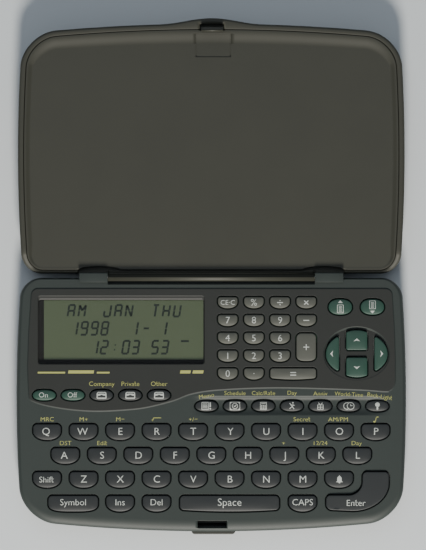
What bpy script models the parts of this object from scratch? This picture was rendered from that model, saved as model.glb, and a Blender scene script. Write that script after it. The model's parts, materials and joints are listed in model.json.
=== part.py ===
"""Pocket electronic organiser: a keyboard half with a display, and a lid on a rear hinge, open flat.

Dimensions are millimetres and become metres when a mesh is made. +X is right, +Y runs from the
keyboard towards the lid, +Z is up. The origin is the centre of the underside of the keyboard half.
"""

import math

import bmesh
import bpy

MM = 0.001

# Hinge axis and the open lid's closed-lid symmetry
HINGE_Y = 41.8
HINGE_Z = 10.15

# Outlines of the two halves: half width and depth at the corners, and how far the edges bow out
BASE_HALF_WIDTH = 62.5
BASE_REAR_Y = 41.5
BASE_FRONT_Y = -38.3
BASE_SIDE_BOW = 1.6
BASE_FRONT_BOW = 3.65
LID_HALF_WIDTH = 62.1
LID_GAP_TO_HINGE = 1.1
LID_DEPTH = 80.2
LID_SIDE_BOW = 1.5
LID_FRONT_BOW = 3.3
THUMB_BULGE = 1.8
THUMB_HALF_WIDTH = 17.0
REAR_CORNER = 6.5
FRONT_CORNER = 11.0
CORNER_STEPS = 6
LONGEST_EDGE = 7.0

# Keyboard half, from the desk up
WALL = 1.8
CLEARANCE = 0.3
FLOOR = 1.6
SPLIT_LOW = 4.2
SPLIT_HIGH = 4.5
EDGE_FALL = 8.4
DECK_UNDER = 8.8
DECK = 10.0
PANEL = 10.3
DISH_FLOOR = 9.9
SCOOP_FLOOR = 9.2
BOARD = (5.2, 6.0)
DOME_SHEET = (6.3, 6.7)
DOME_TOP = 7.0
FLANGE = (7.9, 8.5)
PAD_UNDER = 7.5
FLANGE_REACH = 0.8
POWER_FLANGE_REACH = 0.6
CAP_TOP = 10.8
PANEL_CAP_TOP = 11.0
SCOOP_CAP_TOP = 9.9

# Main key block
PITCH_X = 12.0
PITCH_Y = 7.84
ROW_1_X = -54.0
ROW_2_X = -48.0
ROW_1_Y = -9.15
CAP_W = 9.2
CAP_H = 5.3
LETTER_ROWS = ("qwertyuiop", "asdfghjkl", "zxcvbnm")
LONG_KEYS = {"key_symbol": (-45.4, 16.4), "key_insert": (-30.0, CAP_W), "key_delete": (-18.0, CAP_W),
             "key_space": (6.0, 32.7), "key_caps": (30.0, CAP_W)}

# Calculator, page, power, directory and function keys
CALC_X = 5.4
CALC_Y = 33.4
CALC_PITCH_X = 8.6
CALC_PITCH_Y = 5.85
CALC_W = 6.5
CALC_H = 3.8
CALC_PLUS_H = 9.2
PAGE_KEYS = ((42.4, 32.0), (52.95, 32.0))
PAGE_W = 7.8
PAGE_H = 5.2
POWER_X = -54.9
POWER_Y = 3.0
POWER_PITCH = 9.43
OVAL_W = 7.5
OVAL_H = 3.65
FUNCTION_X = -1.6
FUNCTION_Y = -0.6
FUNCTION_PITCH = 9.37
FUNCTION_COUNT = 7

# Cursor keys
CURSOR_X = 47.8
CURSOR_Y = 16.6
DISH = (11.0, 8.9)
DISH_SLOPE = 0.5
CURSOR_OVAL = (10.2, 7.2)

# Display
DISPLAY = (-56.9, -2.3, 13.2, 35.3)
WINDOW = (-59.2, -0.2, 11.3, 37.2)
WINDOW_Z = (8.8, 9.4)
WINDOW_SEAT = 9.7
GLASS_Z = (6.4, 8.5)
FOIL_Z = (5.7, 6.1)

# Hinge
EAR = (34.3, 43.4)
EAR_RADIUS = 1.6
BARREL_RADIUS = 1.5
BARREL_HALF = 33.9
PIN_RADIUS = 0.7
BORE_RADIUS = 1.0
TROUGH_Y = 39.3
TROUGH_Z = 8.2

# Lid, from its outer face at the bottom to its rim
LID_OUTER = 5.4
LID_SKIN = 6.6
LID_RIM = 10.0
LINER_UNDER = 7.0
LINER_FLOOR = 8.9
LINER_EDGE = 9.7

# Catch
CATCH_X = 0.3
HOOK_HALF = 3.6
HOOK_Y = (122.3, 123.0, 123.7)
HOOK_Z = (6.2, 13.8, 14.7)
SLOT = (-38.3, -40.7)
SLOT_HALF = 4.8
BUTTON_X = 0.7
BUTTON_HALF = 7.2
BUTTON_Z = (5.6, 7.8)
BUTTON_Y = (-42.9, -37.6)
BUTTON_CORNER = 1.1
BUTTON_WINDOW = (-41.2, -39.1)

# Screws, cells, cover, buzzer
SCREWS = {"case_screw_left": (-30.0, 8.6), "case_screw_right": (38.5, 5.6)}
BOSS_RADIUS = 2.0
BOSS_FOOT = 3.1
CELLS = {"battery_main": (12.8, 28.8), "battery_backup": (35.2, 28.8)}
CELL_RADIUS = 10.0
CELL_Z = (1.7, 4.9)
COVER = (1.2, 46.8, 16.8, 41.2)
COVER_TOP = 1.4
TONGUE = 0.8
TONGUE_Z = (0.65, 1.05)
BUZZER = (-40.0, -15.0)
BUZZER_RADIUS = 10.0

# Finishes: colour, roughness, metallic
DARK_SHELL = ((0.050, 0.056, 0.049), 0.55, 0.0)
DARK_KEY = ((0.030, 0.036, 0.040), 0.45, 0.0)
GREEN_KEY = ((0.028, 0.095, 0.066), 0.45, 0.0)
GREY_KEY = ((0.125, 0.120, 0.105), 0.5, 0.0)
CLEAR = ((0.30, 0.33, 0.26), 0.08, 0.0)
DISPLAY_GREEN = ((0.105, 0.122, 0.063), 0.3, 0.0)
FOIL = ((0.75, 0.78, 0.70), 0.4, 0.0)
BOARD_GREEN = ((0.02, 0.12, 0.05), 0.5, 0.0)
RUBBER = ((0.25, 0.26, 0.26), 0.7, 0.0)
STEEL = ((0.55, 0.55, 0.56), 0.3, 1.0)
BRASS = ((0.60, 0.45, 0.20), 0.35, 1.0)


def arc(centre, radii, start, end, steps):
    """Points of an elliptical arc, in degrees, both ends included."""
    angles = [math.radians(start + (end - start) * i / steps) for i in range(steps + 1)]
    return [(centre[0] + radii[0] * math.cos(a), centre[1] + radii[1] * math.sin(a)) for a in angles]


def circle(centre, radius, steps):
    return arc(centre, (radius, radius), 0, 360 - 360 / steps, steps - 1)


def rectangle(x0, x1, y0, y1):
    return [(x0, y0), (x1, y0), (x1, y1), (x0, y1)]


def oval(centre, width, height, steps=14):
    """An oval a little fuller than an ellipse."""
    points = []
    for i in range(steps):
        a = 2 * math.pi * i / steps
        c, s = math.cos(a), math.sin(a)
        points.append((centre[0] + width / 2 * math.copysign(abs(c) ** 0.9, c),
                       centre[1] + height / 2 * math.copysign(abs(s) ** 0.9, s)))
    return points


def dee(centre, width, height, steps=4):
    """A key outline: a flat top with small corners, over a bowed lower edge."""
    x, y = centre
    if width > 3.5 * height:
        return long_key(centre, width, height)
    small = min(width, height) * 0.24
    drop = min(height * 0.57, width * 0.33)
    lower = y - height / 2 + drop
    fullness = 0.96 - 0.25 * abs(width / height - 1.7)
    points = arc((x + width / 2 - small, y + height / 2 - small), (small, small), 0, 90, 2)
    points += arc((x - width / 2 + small, y + height / 2 - small), (small, small), 90, 180, 2)
    for side in (-1, 1):
        quarter = []
        for i in range(steps + 1):
            a = math.pi / 2 * i / steps
            quarter.append((x + side * width / 2 * max(0.0, math.cos(a)) ** fullness,
                            lower - drop * math.sin(a) ** fullness))
        points += quarter if side < 0 else quarter[::-1]
    return dedupe(points)


def long_key(centre, width, height):
    """The same outline for a key several times wider than high: small corners all round."""
    x, y = centre
    small, bow = height * 0.25, height * 0.1
    high, low = y + height / 2 - small, y - height / 2 + bow + small
    side = width / 2 - small
    points = arc((x + side, high), (small, small), 0, 90, 2) + arc((x - side, high), (small, small), 90, 180, 2)
    points += arc((x - side, low), (small, small), 180, 265, 2)
    points += [(x + side * t, y - height / 2 + bow * t * t) for t in (-0.5, 0.0, 0.5)]
    return points + arc((x + side, low), (small, small), 275, 360, 2)


def dedupe(points):
    kept = []
    for p in points:
        if not kept or math.dist(p, kept[-1]) > 0.01:
            kept.append(p)
    if math.dist(kept[0], kept[-1]) < 0.01:
        kept.pop()
    return kept


def offset(points, distance):
    """The outline moved out by a distance, corners mitred."""
    moved = []
    for i, (x, y) in enumerate(points):
        ax, ay = points[i - 1]
        bx, by = points[(i + 1) % len(points)]
        n1 = (y - ay, ax - x)
        n2 = (by - y, x - bx)
        l1, l2 = math.hypot(*n1), math.hypot(*n2)
        n1, n2 = (n1[0] / l1, n1[1] / l1), (n2[0] / l2, n2[1] / l2)
        scale = distance / (1 + n1[0] * n2[0] + n1[1] * n2[1])
        moved.append((x + (n1[0] + n2[0]) * scale, y + (n1[1] + n2[1]) * scale))
    return moved


def split_long_edges(points):
    dense = []
    for a, b in zip(points, points[1:] + points[:1]):
        parts = max(1, math.ceil(math.dist(a, b) / LONGEST_EDGE))
        dense += [(a[0] + (b[0] - a[0]) * i / parts, a[1] + (b[1] - a[1]) * i / parts) for i in range(parts)]
    return dense


def half_outline(half_width, depth, side_bow, front_bow, bulge):
    """One half of the case with its rear edge on y = 0 and its front edge towards -y."""
    corners = ((half_width - FRONT_CORNER, FRONT_CORNER - depth, FRONT_CORNER, -90),
               (half_width - REAR_CORNER, -REAR_CORNER, REAR_CORNER, 0),
               (REAR_CORNER - half_width, -REAR_CORNER, REAR_CORNER, 90),
               (FRONT_CORNER - half_width, FRONT_CORNER - depth, FRONT_CORNER, 180))
    points = []
    for x, y, radius, start in corners:
        points += arc((x, y), (radius, radius), start, start + 90, CORNER_STEPS)
    bowed = []
    for x, y in split_long_edges(points):
        along = 1 + 2 * y / depth
        front = max(0.0, -along) ** 2
        swell = front_bow * (1 - (x / half_width) ** 2)
        if abs(x) < THUMB_HALF_WIDTH:
            swell += bulge * math.cos(math.pi / 2 * x / THUMB_HALF_WIDTH) ** 2
        bowed.append((x + side_bow * (1 - along ** 2) * x / half_width, y - swell * front))
    return bowed


def base_outline():
    half = half_outline(BASE_HALF_WIDTH, BASE_REAR_Y - BASE_FRONT_Y, BASE_SIDE_BOW, BASE_FRONT_BOW, 0.0)
    return [(x, y + BASE_REAR_Y) for x, y in half]


def lid_outline(bulge=THUMB_BULGE):
    depth = LID_DEPTH - LID_GAP_TO_HINGE
    half = half_outline(LID_HALF_WIDTH, depth, LID_SIDE_BOW, LID_FRONT_BOW, bulge)
    return [(x, HINGE_Y + LID_GAP_TO_HINGE - y) for x, y in reversed(half)]


def lean(outline, side, front):
    """The base outline drawn in, further at the front edge, for the rolled top edge."""
    middle = (BASE_REAR_Y + BASE_FRONT_Y) / 2
    half_depth = (BASE_REAR_Y - BASE_FRONT_Y) / 2
    drawn = []
    for x, y in offset(outline, -side):
        weight = max(0.0, min(1.0, (middle - y) / half_depth)) ** 3
        drawn.append((x, y + (front - side) * weight))
    return drawn


def panel_outline():
    """The raised panel around the display and calculator, with its S-shaped front edge."""
    s_edge = [(-59.9, 1.4), (-54.5, -0.5), (-46.0, -1.9), (-37.0, -2.4), (-27.3, -1.9), (-21.0, -1.1),
              (-12.6, 1.0), (-6.3, 3.3), (3.0, 4.6), (22.3, 5.3), (48.0, 4.6), (56.8, 4.1), (60.0, 4.8)]
    return s_edge + [(60.7, 36.0), (59.0, 37.7), (-58.6, 37.7), (-60.3, 36.0)]


def enter_outline():
    points = arc((39.7, -32.8), (2.0, 2.0), 180, 270, 2)
    points += arc((46.5, -25.7), (11.9, 9.4), 270, 360, 7)
    points += arc((57.0, -23.6), (1.4, 1.4), 0, 90, 2)
    points += arc((51.1, -23.6), (1.4, 1.4), 90, 180, 2)
    points += arc((45.1, -25.3), (4.6, 4.6), 0, -90, 4)
    points += arc((39.1, -31.3), (1.4, 1.4), 90, 180, 2)
    return dedupe(points)


def cursor_outlines():
    """Up and down keys with a bowed outer edge, and side keys cut from an oval, corners eased."""
    outlines = {}
    for name, sign in (("key_up", 1), ("key_down", -1)):
        points = (arc((-2.8, 1.9), (0.7, 0.7), 180, 270, 2) + arc((2.8, 1.9), (0.7, 0.7), 270, 360, 2)
                  + arc((2.9, 6.7), (0.6, 0.6), 0, 68, 2) + arc((0.0, -1.15), (8.95, 8.95), 70, 110, 4)
                  + arc((-2.9, 6.7), (0.6, 0.6), 112, 180, 2))
        placed = [(CURSOR_X + x, CURSOR_Y + sign * y) for x, y in points]
        outlines[name] = dedupe(placed if sign > 0 else placed[::-1])
    for name, sign in (("key_right", 1), ("key_left", -1)):
        points = (arc((6.4, -4.92), (0.6, 0.6), 180, 300, 2) + arc((0.0, 0.0), CURSOR_OVAL, -48, 48, 8)
                  + arc((6.4, 4.92), (0.6, 0.6), 60, 180, 2))
        placed = [(CURSOR_X + sign * x, CURSOR_Y + y) for x, y in points]
        outlines[name] = dedupe(placed if sign > 0 else placed[::-1])
    return outlines


def main_keys():
    """Name and cap outline of each key in the main block."""
    keys = {}
    starts = (ROW_1_X, ROW_2_X, ROW_1_X + PITCH_X)
    for row, (letters, start) in enumerate(zip(LETTER_ROWS, starts)):
        for i, letter in enumerate(letters):
            keys[f"key_{letter}"] = dee((start + i * PITCH_X, ROW_1_Y - row * PITCH_Y), CAP_W, CAP_H)
    keys["key_shift"] = dee((ROW_1_X, ROW_1_Y - 2 * PITCH_Y), CAP_W, CAP_H)
    keys["key_alarm"] = dee((ROW_1_X + 8 * PITCH_X, ROW_1_Y - 2 * PITCH_Y), CAP_W, CAP_H)
    for name, (x, width) in LONG_KEYS.items():
        keys[name] = dee((x, ROW_1_Y - 3 * PITCH_Y), width, CAP_H)
    keys["key_enter"] = enter_outline()
    return keys


def power_keys():
    return {name: oval((POWER_X + i * POWER_PITCH, POWER_Y), OVAL_W, OVAL_H)
            for i, name in enumerate(("key_on", "key_off"))}


def calculator_keys():
    """Cap outlines of the 18 calculator keys: a tall plus and a wide equals take two places each."""
    caps = []
    for row in range(5):
        for column in range(4):
            x = CALC_X + column * CALC_PITCH_X
            y = CALC_Y - row * CALC_PITCH_Y
            if column == 3 and row in (2, 3):
                continue
            if row == 4 and column > 1:
                continue
            caps.append(dee((x, y), CALC_W, CALC_H))
    right = CALC_X + 3 * CALC_PITCH_X
    bottom = CALC_Y - 4 * CALC_PITCH_Y
    caps.append(dee((right, CALC_Y - 2.5 * CALC_PITCH_Y), CALC_W, CALC_PLUS_H))
    caps.append(dee((right - CALC_PITCH_X / 2, bottom), CALC_W + CALC_PITCH_X, CALC_H))
    return caps


def page_keys():
    return [oval(centre, PAGE_W, PAGE_H, 12) for centre in PAGE_KEYS]


def directory_keys():
    return [oval((POWER_X + i * POWER_PITCH, POWER_Y), OVAL_W, OVAL_H, 12) for i in (2, 3, 4)]


def function_keys():
    return [oval((FUNCTION_X + i * FUNCTION_PITCH, FUNCTION_Y), OVAL_W, OVAL_H, 12) for i in range(FUNCTION_COUNT)]


def ring(bm, outline, z):
    return [bm.verts.new((x * MM, y * MM, z * MM)) for x, y in outline]


def band(bm, lower, upper):
    for i in range(len(lower)):
        bm.faces.new((lower[i - 1], lower[i], upper[i], upper[i - 1]))


def fill(bm, loops):
    """A flat face inside the first loop and outside the others."""
    edges = []
    for loop in loops:
        for a, b in zip(loop, loop[1:] + loop[:1]):
            edges.append(bm.edges.get((a, b)) or bm.edges.new((a, b)))
    bmesh.ops.triangle_fill(bm, use_beauty=True, edges=edges, normal=(0, 0, 1))


def add_object(name, bm, finish):
    bmesh.ops.recalc_face_normals(bm, faces=bm.faces)
    mesh = bpy.data.meshes.new(name)
    bm.to_mesh(mesh)
    bm.free()
    obj = bpy.data.objects.new(name, mesh)
    bpy.context.scene.collection.objects.link(obj)
    mesh.materials.append(finish)
    return obj


def material(name, finish):
    """A material of its own for a sub-part."""
    colour, roughness, metallic = finish
    made = bpy.data.materials.new(name)
    made.use_nodes = True
    shader = made.node_tree.nodes["Principled BSDF"]
    shader.inputs["Base Color"].default_value = (*colour, 1.0)
    shader.inputs["Roughness"].default_value = roughness
    shader.inputs["Metallic"].default_value = metallic
    made.diffuse_color = (*colour, 1.0)
    return made


def loft(name, levels, finish):
    """A closed solid through outlines of equal length, given with their heights, capped at both ends."""
    bm = bmesh.new()
    rings = [ring(bm, outline, z) for outline, z in levels]
    bm.faces.new(rings[0][::-1])
    bm.faces.new(rings[-1])
    for lower, upper in zip(rings, rings[1:]):
        band(bm, lower, upper)
    return add_object(name, bm, material(name, finish))


def slab(name, outline, z0, z1, finish):
    return loft(name, [(outline, z0), (outline, z1)], finish)


def rod_x(name, profile, x0, x1, finish):
    """A solid with a profile in Y and Z, run from x0 to x1."""
    bm = bmesh.new()
    ends = [[bm.verts.new((x * MM, y * MM, z * MM)) for y, z in profile] for x in (x0, x1)]
    bm.faces.new(ends[0][::-1])
    bm.faces.new(ends[1])
    band(bm, *ends)
    return add_object(name, bm, material(name, finish))


def combine(target, tool, operation):
    """Applies an exact Boolean with the tool and removes the tool."""
    cut = target.modifiers.new(operation.lower(), "BOOLEAN")
    cut.operation = operation
    cut.solver = "EXACT"
    cut.object = tool
    tool.hide_render = True
    tool.display_type = "WIRE"
    graph = bpy.context.evaluated_depsgraph_get()
    result = bpy.data.meshes.new_from_object(target.evaluated_get(graph))
    target.modifiers.clear()
    finish = target.data.materials[0]
    target.data = result
    result.materials.clear()
    result.materials.append(finish)
    bpy.data.objects.remove(tool)


def cut_box(target, x0, x1, y0, y1, z0, z1):
    combine(target, slab("box_tool", rectangle(x0, x1, y0, y1), z0, z1, DARK_SHELL), "DIFFERENCE")


def add_box(target, x0, x1, y0, y1, z0, z1):
    combine(target, slab("box_tool", rectangle(x0, x1, y0, y1), z0, z1, DARK_SHELL), "UNION")


def hinge_circle(radius, steps=16):
    return circle((HINGE_Y, HINGE_Z), radius, steps)


def housing_levels(bm, openings):
    """The deck, the raised panel, the cursor dish and the function scoop, with every opening."""
    outer = base_outline()
    edge = [ring(bm, outer, SPLIT_HIGH), ring(bm, outer, EDGE_FALL), ring(bm, lean(outer, 0.4, 1.6), 9.4),
            ring(bm, lean(outer, 1.3, 3.6), DECK)]
    for lower, upper in zip(edge, edge[1:]):
        band(bm, lower, upper)
    inner = ring(bm, offset(outer, -WALL), DECK_UNDER)
    inner_foot = ring(bm, offset(outer, -WALL), SPLIT_HIGH)
    band(bm, inner, inner_foot)
    fill(bm, [edge[0], inner_foot])

    holes = {level: [] for level in openings}
    through = []
    for level, outlines in openings.items():
        for outline in outlines:
            top = ring(bm, outline, level)
            under = ring(bm, outline, DECK_UNDER)
            band(bm, top, under)
            holes[level].append(top)
            through.append(under)

    panel = [ring(bm, panel_outline(), DECK), ring(bm, panel_outline(), PANEL)]
    dish_centre = (CURSOR_X, CURSOR_Y)
    dish = [ring(bm, arc(dish_centre, radii, 0, 345, 23), z)
            for radii, z in ((DISH, PANEL), ((DISH[0] - DISH_SLOPE, DISH[1] - DISH_SLOPE), DISH_FLOOR))]
    scoop_outer = scoop_outline()
    scoop = [ring(bm, scoop_outer, DECK), ring(bm, offset(scoop_outer, -0.5), SCOOP_FLOOR)]
    for low, high in (panel, dish, scoop):
        band(bm, low, high)
    fill(bm, [edge[-1], panel[0], scoop[0], *holes[DECK]])
    fill(bm, [panel[1], dish[0], *holes[PANEL]])
    fill(bm, [dish[1], *holes[DISH_FLOOR]])
    fill(bm, [scoop[1], *holes[SCOOP_FLOOR]])
    return inner, through


def scoop_outline():
    """The long shallow recess round the function keys."""
    left, right = FUNCTION_X - 5.3, FUNCTION_X + (FUNCTION_COUNT - 1) * FUNCTION_PITCH + 5.3
    y0, y1 = FUNCTION_Y - 3.2, FUNCTION_Y + 3.4
    radius = (y1 - y0) / 2 - 0.05
    middle = (y0 + y1) / 2
    return (arc((right - radius, middle), (radius, radius), -90, 90, 8)
            + arc((left + radius, middle), (radius, radius), 90, 270, 8))


def make_upper_housing(keys_at):
    """The top moulding: deck, walls, screw bosses, hinge trough and ears, catch slot."""
    bm = bmesh.new()
    openings = {level: [offset(cap, CLEARANCE) for cap in caps] for level, caps in keys_at.items()}
    openings[PANEL].append(rectangle(*DISPLAY))
    inner, through = housing_levels(bm, openings)
    bosses = []
    for centre in SCREWS.values():
        head, foot = (ring(bm, circle(centre, BOSS_RADIUS, 12), z) for z in (DECK_UNDER, BOSS_FOOT))
        bore_foot, bore_top = (ring(bm, circle(centre, 1.1, 8), z) for z in (BOSS_FOOT, 8.0))
        band(bm, head, foot)
        band(bm, bore_foot, bore_top)
        fill(bm, [foot, bore_foot])
        bm.faces.new(bore_top)
        bosses.append(head)
    fill(bm, [inner, *through, *bosses])
    housing = add_object("upper_housing", bm, material("upper_housing", DARK_SHELL))

    add_box(housing, -36.0, 36.0, 37.9, 40.6, 7.0, 9.4)
    cut_box(housing, -34.1, 34.1, TROUGH_Y, 46.0, TROUGH_Z, 13.0)
    x0, x1, y0, y1 = WINDOW
    cut_box(housing, x0 - CLEARANCE, x1 + CLEARANCE, y0 - CLEARANCE, y1 + CLEARANCE, 8.0, WINDOW_SEAT)
    for side in (-1, 1):
        ear = hinge_circle(EAR_RADIUS)
        upper = [(y, z) for y, z in ear if z > HINGE_Z - 0.1]
        profile = [(HINGE_Y + EAR_RADIUS, 9.2), *upper, (HINGE_Y - 3.2, 9.6), (HINGE_Y - 3.2, 9.2),
                   (HINGE_Y - 1.2, 6.4), (HINGE_Y - 0.1, 6.4)]
        x0, x1 = sorted((side * EAR[0], side * EAR[1]))
        combine(housing, rod_x("ear_tool", profile, x0, x1, DARK_SHELL), "UNION")
        b0, b1 = sorted((side * (EAR[0] - 1.0), side * (EAR[1] - 1.5)))
        combine(housing, rod_x("bore_tool", hinge_circle(BORE_RADIUS, 12), b0, b1, DARK_SHELL), "DIFFERENCE")
    cut_box(housing, CATCH_X - SLOT_HALF, CATCH_X + SLOT_HALF, SLOT[1], SLOT[0], 8.0, 12.0)
    cut_box(housing, BUTTON_X - BUTTON_HALF - CLEARANCE, BUTTON_X + BUTTON_HALF + CLEARANCE,
            -44.0, -39.0, BUTTON_Z[0] - CLEARANCE, BUTTON_Z[1] + CLEARANCE)


def make_lower_housing():
    """The bottom moulding: a tray with a grooved cover opening at the rear and two screw seats."""
    outer = base_outline()
    inner = offset(outer, -WALL)
    levels = [(offset(outer, -1.2), 0.0), (outer, 1.3), (outer, SPLIT_LOW), (inner, SPLIT_LOW), (inner, FLOOR)]
    tray = loft("lower_housing", levels, DARK_SHELL)
    for centre in SCREWS.values():
        combine(tray, slab("seat_tool", circle(centre, 3.2, 16), 1.0, 2.8, DARK_SHELL), "UNION")
        combine(tray, slab("head_tool", circle(centre, 2.2, 16), -1.0, 1.8, DARK_SHELL), "DIFFERENCE")
        combine(tray, slab("hole_tool", circle(centre, 1.1, 12), 1.0, 4.0, DARK_SHELL), "DIFFERENCE")
    x0, x1, y0, _ = COVER
    rear = 45.0
    cut_box(tray, x0 - CLEARANCE, x1 + CLEARANCE, y0 - CLEARANCE, rear, -1.0, FLOOR + 0.1)
    groove = TONGUE + CLEARANCE
    cut_box(tray, x0 - groove, x1 + groove, y0 - CLEARANCE, rear, TONGUE_Z[0] - 0.25, TONGUE_Z[1] + 0.25)


def make_battery_cover():
    x0, x1, y0, y1 = COVER
    cover = loft("battery_cover", [(rectangle(x0, x1, y0, y1 - 1.0), 0.0), (rectangle(x0, x1, y0, y1), 1.2),
                                   (rectangle(x0, x1, y0, y1), COVER_TOP)], DARK_SHELL)
    add_box(cover, x0 - TONGUE, x1 + TONGUE, y0 + 0.5, y1 - 2.0, *TONGUE_Z)


def make_lid_shell():
    """The lid's outer tray with hinge barrel, ear notches and catch hook."""
    outer = lid_outline()
    inner = offset(lid_outline(0.0), -WALL)
    levels = [(offset(outer, -1.4), LID_OUTER), (outer, LID_OUTER + 1.4), (outer, LID_RIM), (inner, LID_RIM),
              (inner, LID_SKIN)]
    shell = loft("lid_shell", levels, DARK_SHELL)
    for side in (-1, 1):
        x0, x1 = sorted((side * (EAR[0] - 0.4), side * (EAR[1] + 0.4)))
        cut_box(shell, x0, x1, HINGE_Y, HINGE_Y + EAR_RADIUS + 0.6, 7.9, 11.0)
    round_side = [(y, z) for y, z in hinge_circle(BARREL_RADIUS) if y < HINGE_Y + 0.1]
    profile = [*round_side, (HINGE_Y + 2.2, HINGE_Z - BARREL_RADIUS), (HINGE_Y + 2.2, LID_RIM - 0.1),
               (HINGE_Y + 1.2, LID_RIM - 0.1)]
    combine(shell, rod_x("barrel_tool", profile, -BARREL_HALF, BARREL_HALF, DARK_SHELL), "UNION")
    for side in (-1, 1):
        x0, x1 = sorted((side * 29.5, side * 36.0))
        combine(shell, rod_x("bore_tool", hinge_circle(BORE_RADIUS, 12), x0, x1, DARK_SHELL), "DIFFERENCE")
    barb, front, back = HOOK_Y
    foot, under, tip = HOOK_Z
    hook = [(front, foot), (back, foot), (back, tip), (front - 0.1, tip), (barb, under + 0.2), (barb, under),
            (front, under)]
    combine(shell, rod_x("hook_tool", hook, CATCH_X - HOOK_HALF, CATCH_X + HOOK_HALF, DARK_SHELL), "UNION")


def make_lid_liner():
    """The dished panel inside the lid's rim."""
    edge = offset(lid_outline(0.0), -WALL - CLEARANCE)
    levels = [(offset(edge, -1.6), LINER_UNDER), (edge, LINER_UNDER + 1.4), (edge, LINER_EDGE),
              (offset(edge, -0.7), 9.3), (offset(edge, -1.8), 9.0), (offset(edge, -3.0), LINER_FLOOR)]
    liner = loft("lid_liner", levels, DARK_SHELL)
    slot = HOOK_HALF + 0.5
    cut_box(liner, CATCH_X - slot, CATCH_X + slot, HOOK_Y[0] - 0.5, HOOK_Y[2] + 1.4, 5.0, 12.0)


def key(name, cap, top, finish, reach=FLANGE_REACH):
    """A cap with a retaining flange under the deck. Its origin stays on its slide axis."""
    flange = offset(cap, reach)
    obj = loft(name, [(flange, FLANGE[0]), (flange, FLANGE[1]), (cap, FLANGE[1]), (cap, top)], finish)
    middle = [sum(p[axis] for p in cap) / len(cap) * MM for axis in (0, 1)] + [FLANGE[0] * MM]
    for vertex in obj.data.vertices:
        vertex.co = [c - m for c, m in zip(vertex.co, middle)]
    obj.location = middle


def keypad(name, sheet, posts, finish):
    """A one-piece rubber keypad: a sheet with posts, each given as its outline and height."""
    bm = bmesh.new()
    foot, brim = ring(bm, sheet, PAD_UNDER), ring(bm, sheet, FLANGE[1])
    band(bm, foot, brim)
    bm.faces.new(foot[::-1])
    holes = []
    for cap, top in posts:
        low, high = ring(bm, cap, FLANGE[1]), ring(bm, cap, top)
        band(bm, low, high)
        bm.faces.new(high)
        holes.append(low)
    fill(bm, [brim, *holes])
    add_object(name, bm, material(name, finish))


def make_keypads():
    top, bottom = CALC_Y + 3.2, CALC_Y - 4 * CALC_PITCH_Y - 3.0
    right = CALC_X + 3 * CALC_PITCH_X + 4.6
    calculator_sheet = [(CALC_X - 4.6, bottom), (right, bottom), (right, 28.2), (58.0, 28.2), (58.0, top),
                        (CALC_X - 4.6, top)]
    posts = [(cap, PANEL_CAP_TOP) for cap in calculator_keys() + page_keys()]
    keypad("calculator_keypad", calculator_sheet, posts, GREY_KEY)
    function_sheet = [(-40.2, -4.6), (59.4, -4.6), (59.4, 3.0), (-11.8, 3.0), (-11.8, 5.9), (-40.2, 5.9)]
    posts = [(cap, PANEL_CAP_TOP) for cap in directory_keys()] + [(cap, SCOOP_CAP_TOP) for cap in function_keys()]
    keypad("function_keypad", function_sheet, posts, DARK_KEY)


def make_dome_sheet(centres):
    """The rubber sheet under the single keys, with one low dome for each."""
    outline = [(-58.0, -31.8), (-56.4, -33.6), (55.6, -33.6), (59.0, -30.0), (59.0, 25.6), (37.2, 25.6),
               (37.2, 9.0), (33.0, -5.0), (-41.2, -5.0), (-41.2, 6.2), (-59.4, 6.2), (-59.4, -28.0)]
    bm = bmesh.new()
    low, high = DOME_SHEET
    foot, brim = ring(bm, outline, low), ring(bm, outline, high)
    band(bm, foot, brim)
    holes = []
    for x, y in centres:
        wide, narrow = (ring(bm, circle((x, y), radius, 6), z) for radius, z in ((1.7, high), (1.1, DOME_TOP)))
        band(bm, wide, narrow)
        bm.faces.new(narrow)
        holes.append(wide)
    boss_holes = [[ring(bm, circle(SCREWS["case_screw_right"], BOSS_RADIUS + 0.5, 12), z) for z in DOME_SHEET]]
    for under, over in boss_holes:
        band(bm, under, over)
    fill(bm, [brim, *holes, *(over for _, over in boss_holes)])
    fill(bm, [foot, *(under for under, _ in boss_holes)])
    add_object("dome_sheet", bm, material("dome_sheet", RUBBER))


def make_circuit_board():
    """An L-shaped board that leaves the display's place free, with two boss holes."""
    outline = [(-56.0, -33.8), (54.8, -33.8), (59.5, -29.0), (59.5, 34.5), (56.0, 37.6), (0.4, 37.6), (0.4, 10.8),
               (-59.5, 10.8), (-59.5, -29.0)]
    bm = bmesh.new()
    faces = [ring(bm, outline, z) for z in BOARD]
    band(bm, *faces)
    holes = [[ring(bm, circle(centre, BOSS_RADIUS + 0.5, 12), z) for z in BOARD] for centre in SCREWS.values()]
    for pair in holes:
        band(bm, *pair)
    for level in (0, 1):
        fill(bm, [faces[level], *(pair[level] for pair in holes)])
    add_object("circuit_board", bm, material("circuit_board", BOARD_GREEN))


def make_latch_button():
    """The release tab: a frame whose window takes the hook, with its keeper bar at the rear."""
    x0, x1 = BUTTON_X - BUTTON_HALF, BUTTON_X + BUTTON_HALF
    tip, back = BUTTON_Y
    r = BUTTON_CORNER
    outline = (arc((x0 + r, tip + r), (r, r), 180, 270, 4) + arc((x1 - r, tip + r), (r, r), 270, 360, 4)
               + [(x1, back), (x0, back)])
    button = slab("latch_button", outline, *BUTTON_Z, DARK_SHELL)
    cut_box(button, CATCH_X - SLOT_HALF, CATCH_X + SLOT_HALF, *BUTTON_WINDOW, 0.0, 12.0)
    cut_box(button, CATCH_X - SLOT_HALF, CATCH_X + SLOT_HALF, -41.2, -30.0, 0.0, 6.8)


def make_hinge_pins():
    for name, side in (("hinge_pin_left", -1), ("hinge_pin_right", 1)):
        x0, x1 = sorted((side * 30.0, side * 41.4))
        rod_x(name, hinge_circle(PIN_RADIUS, 12), x0, x1, STEEL)


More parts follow.
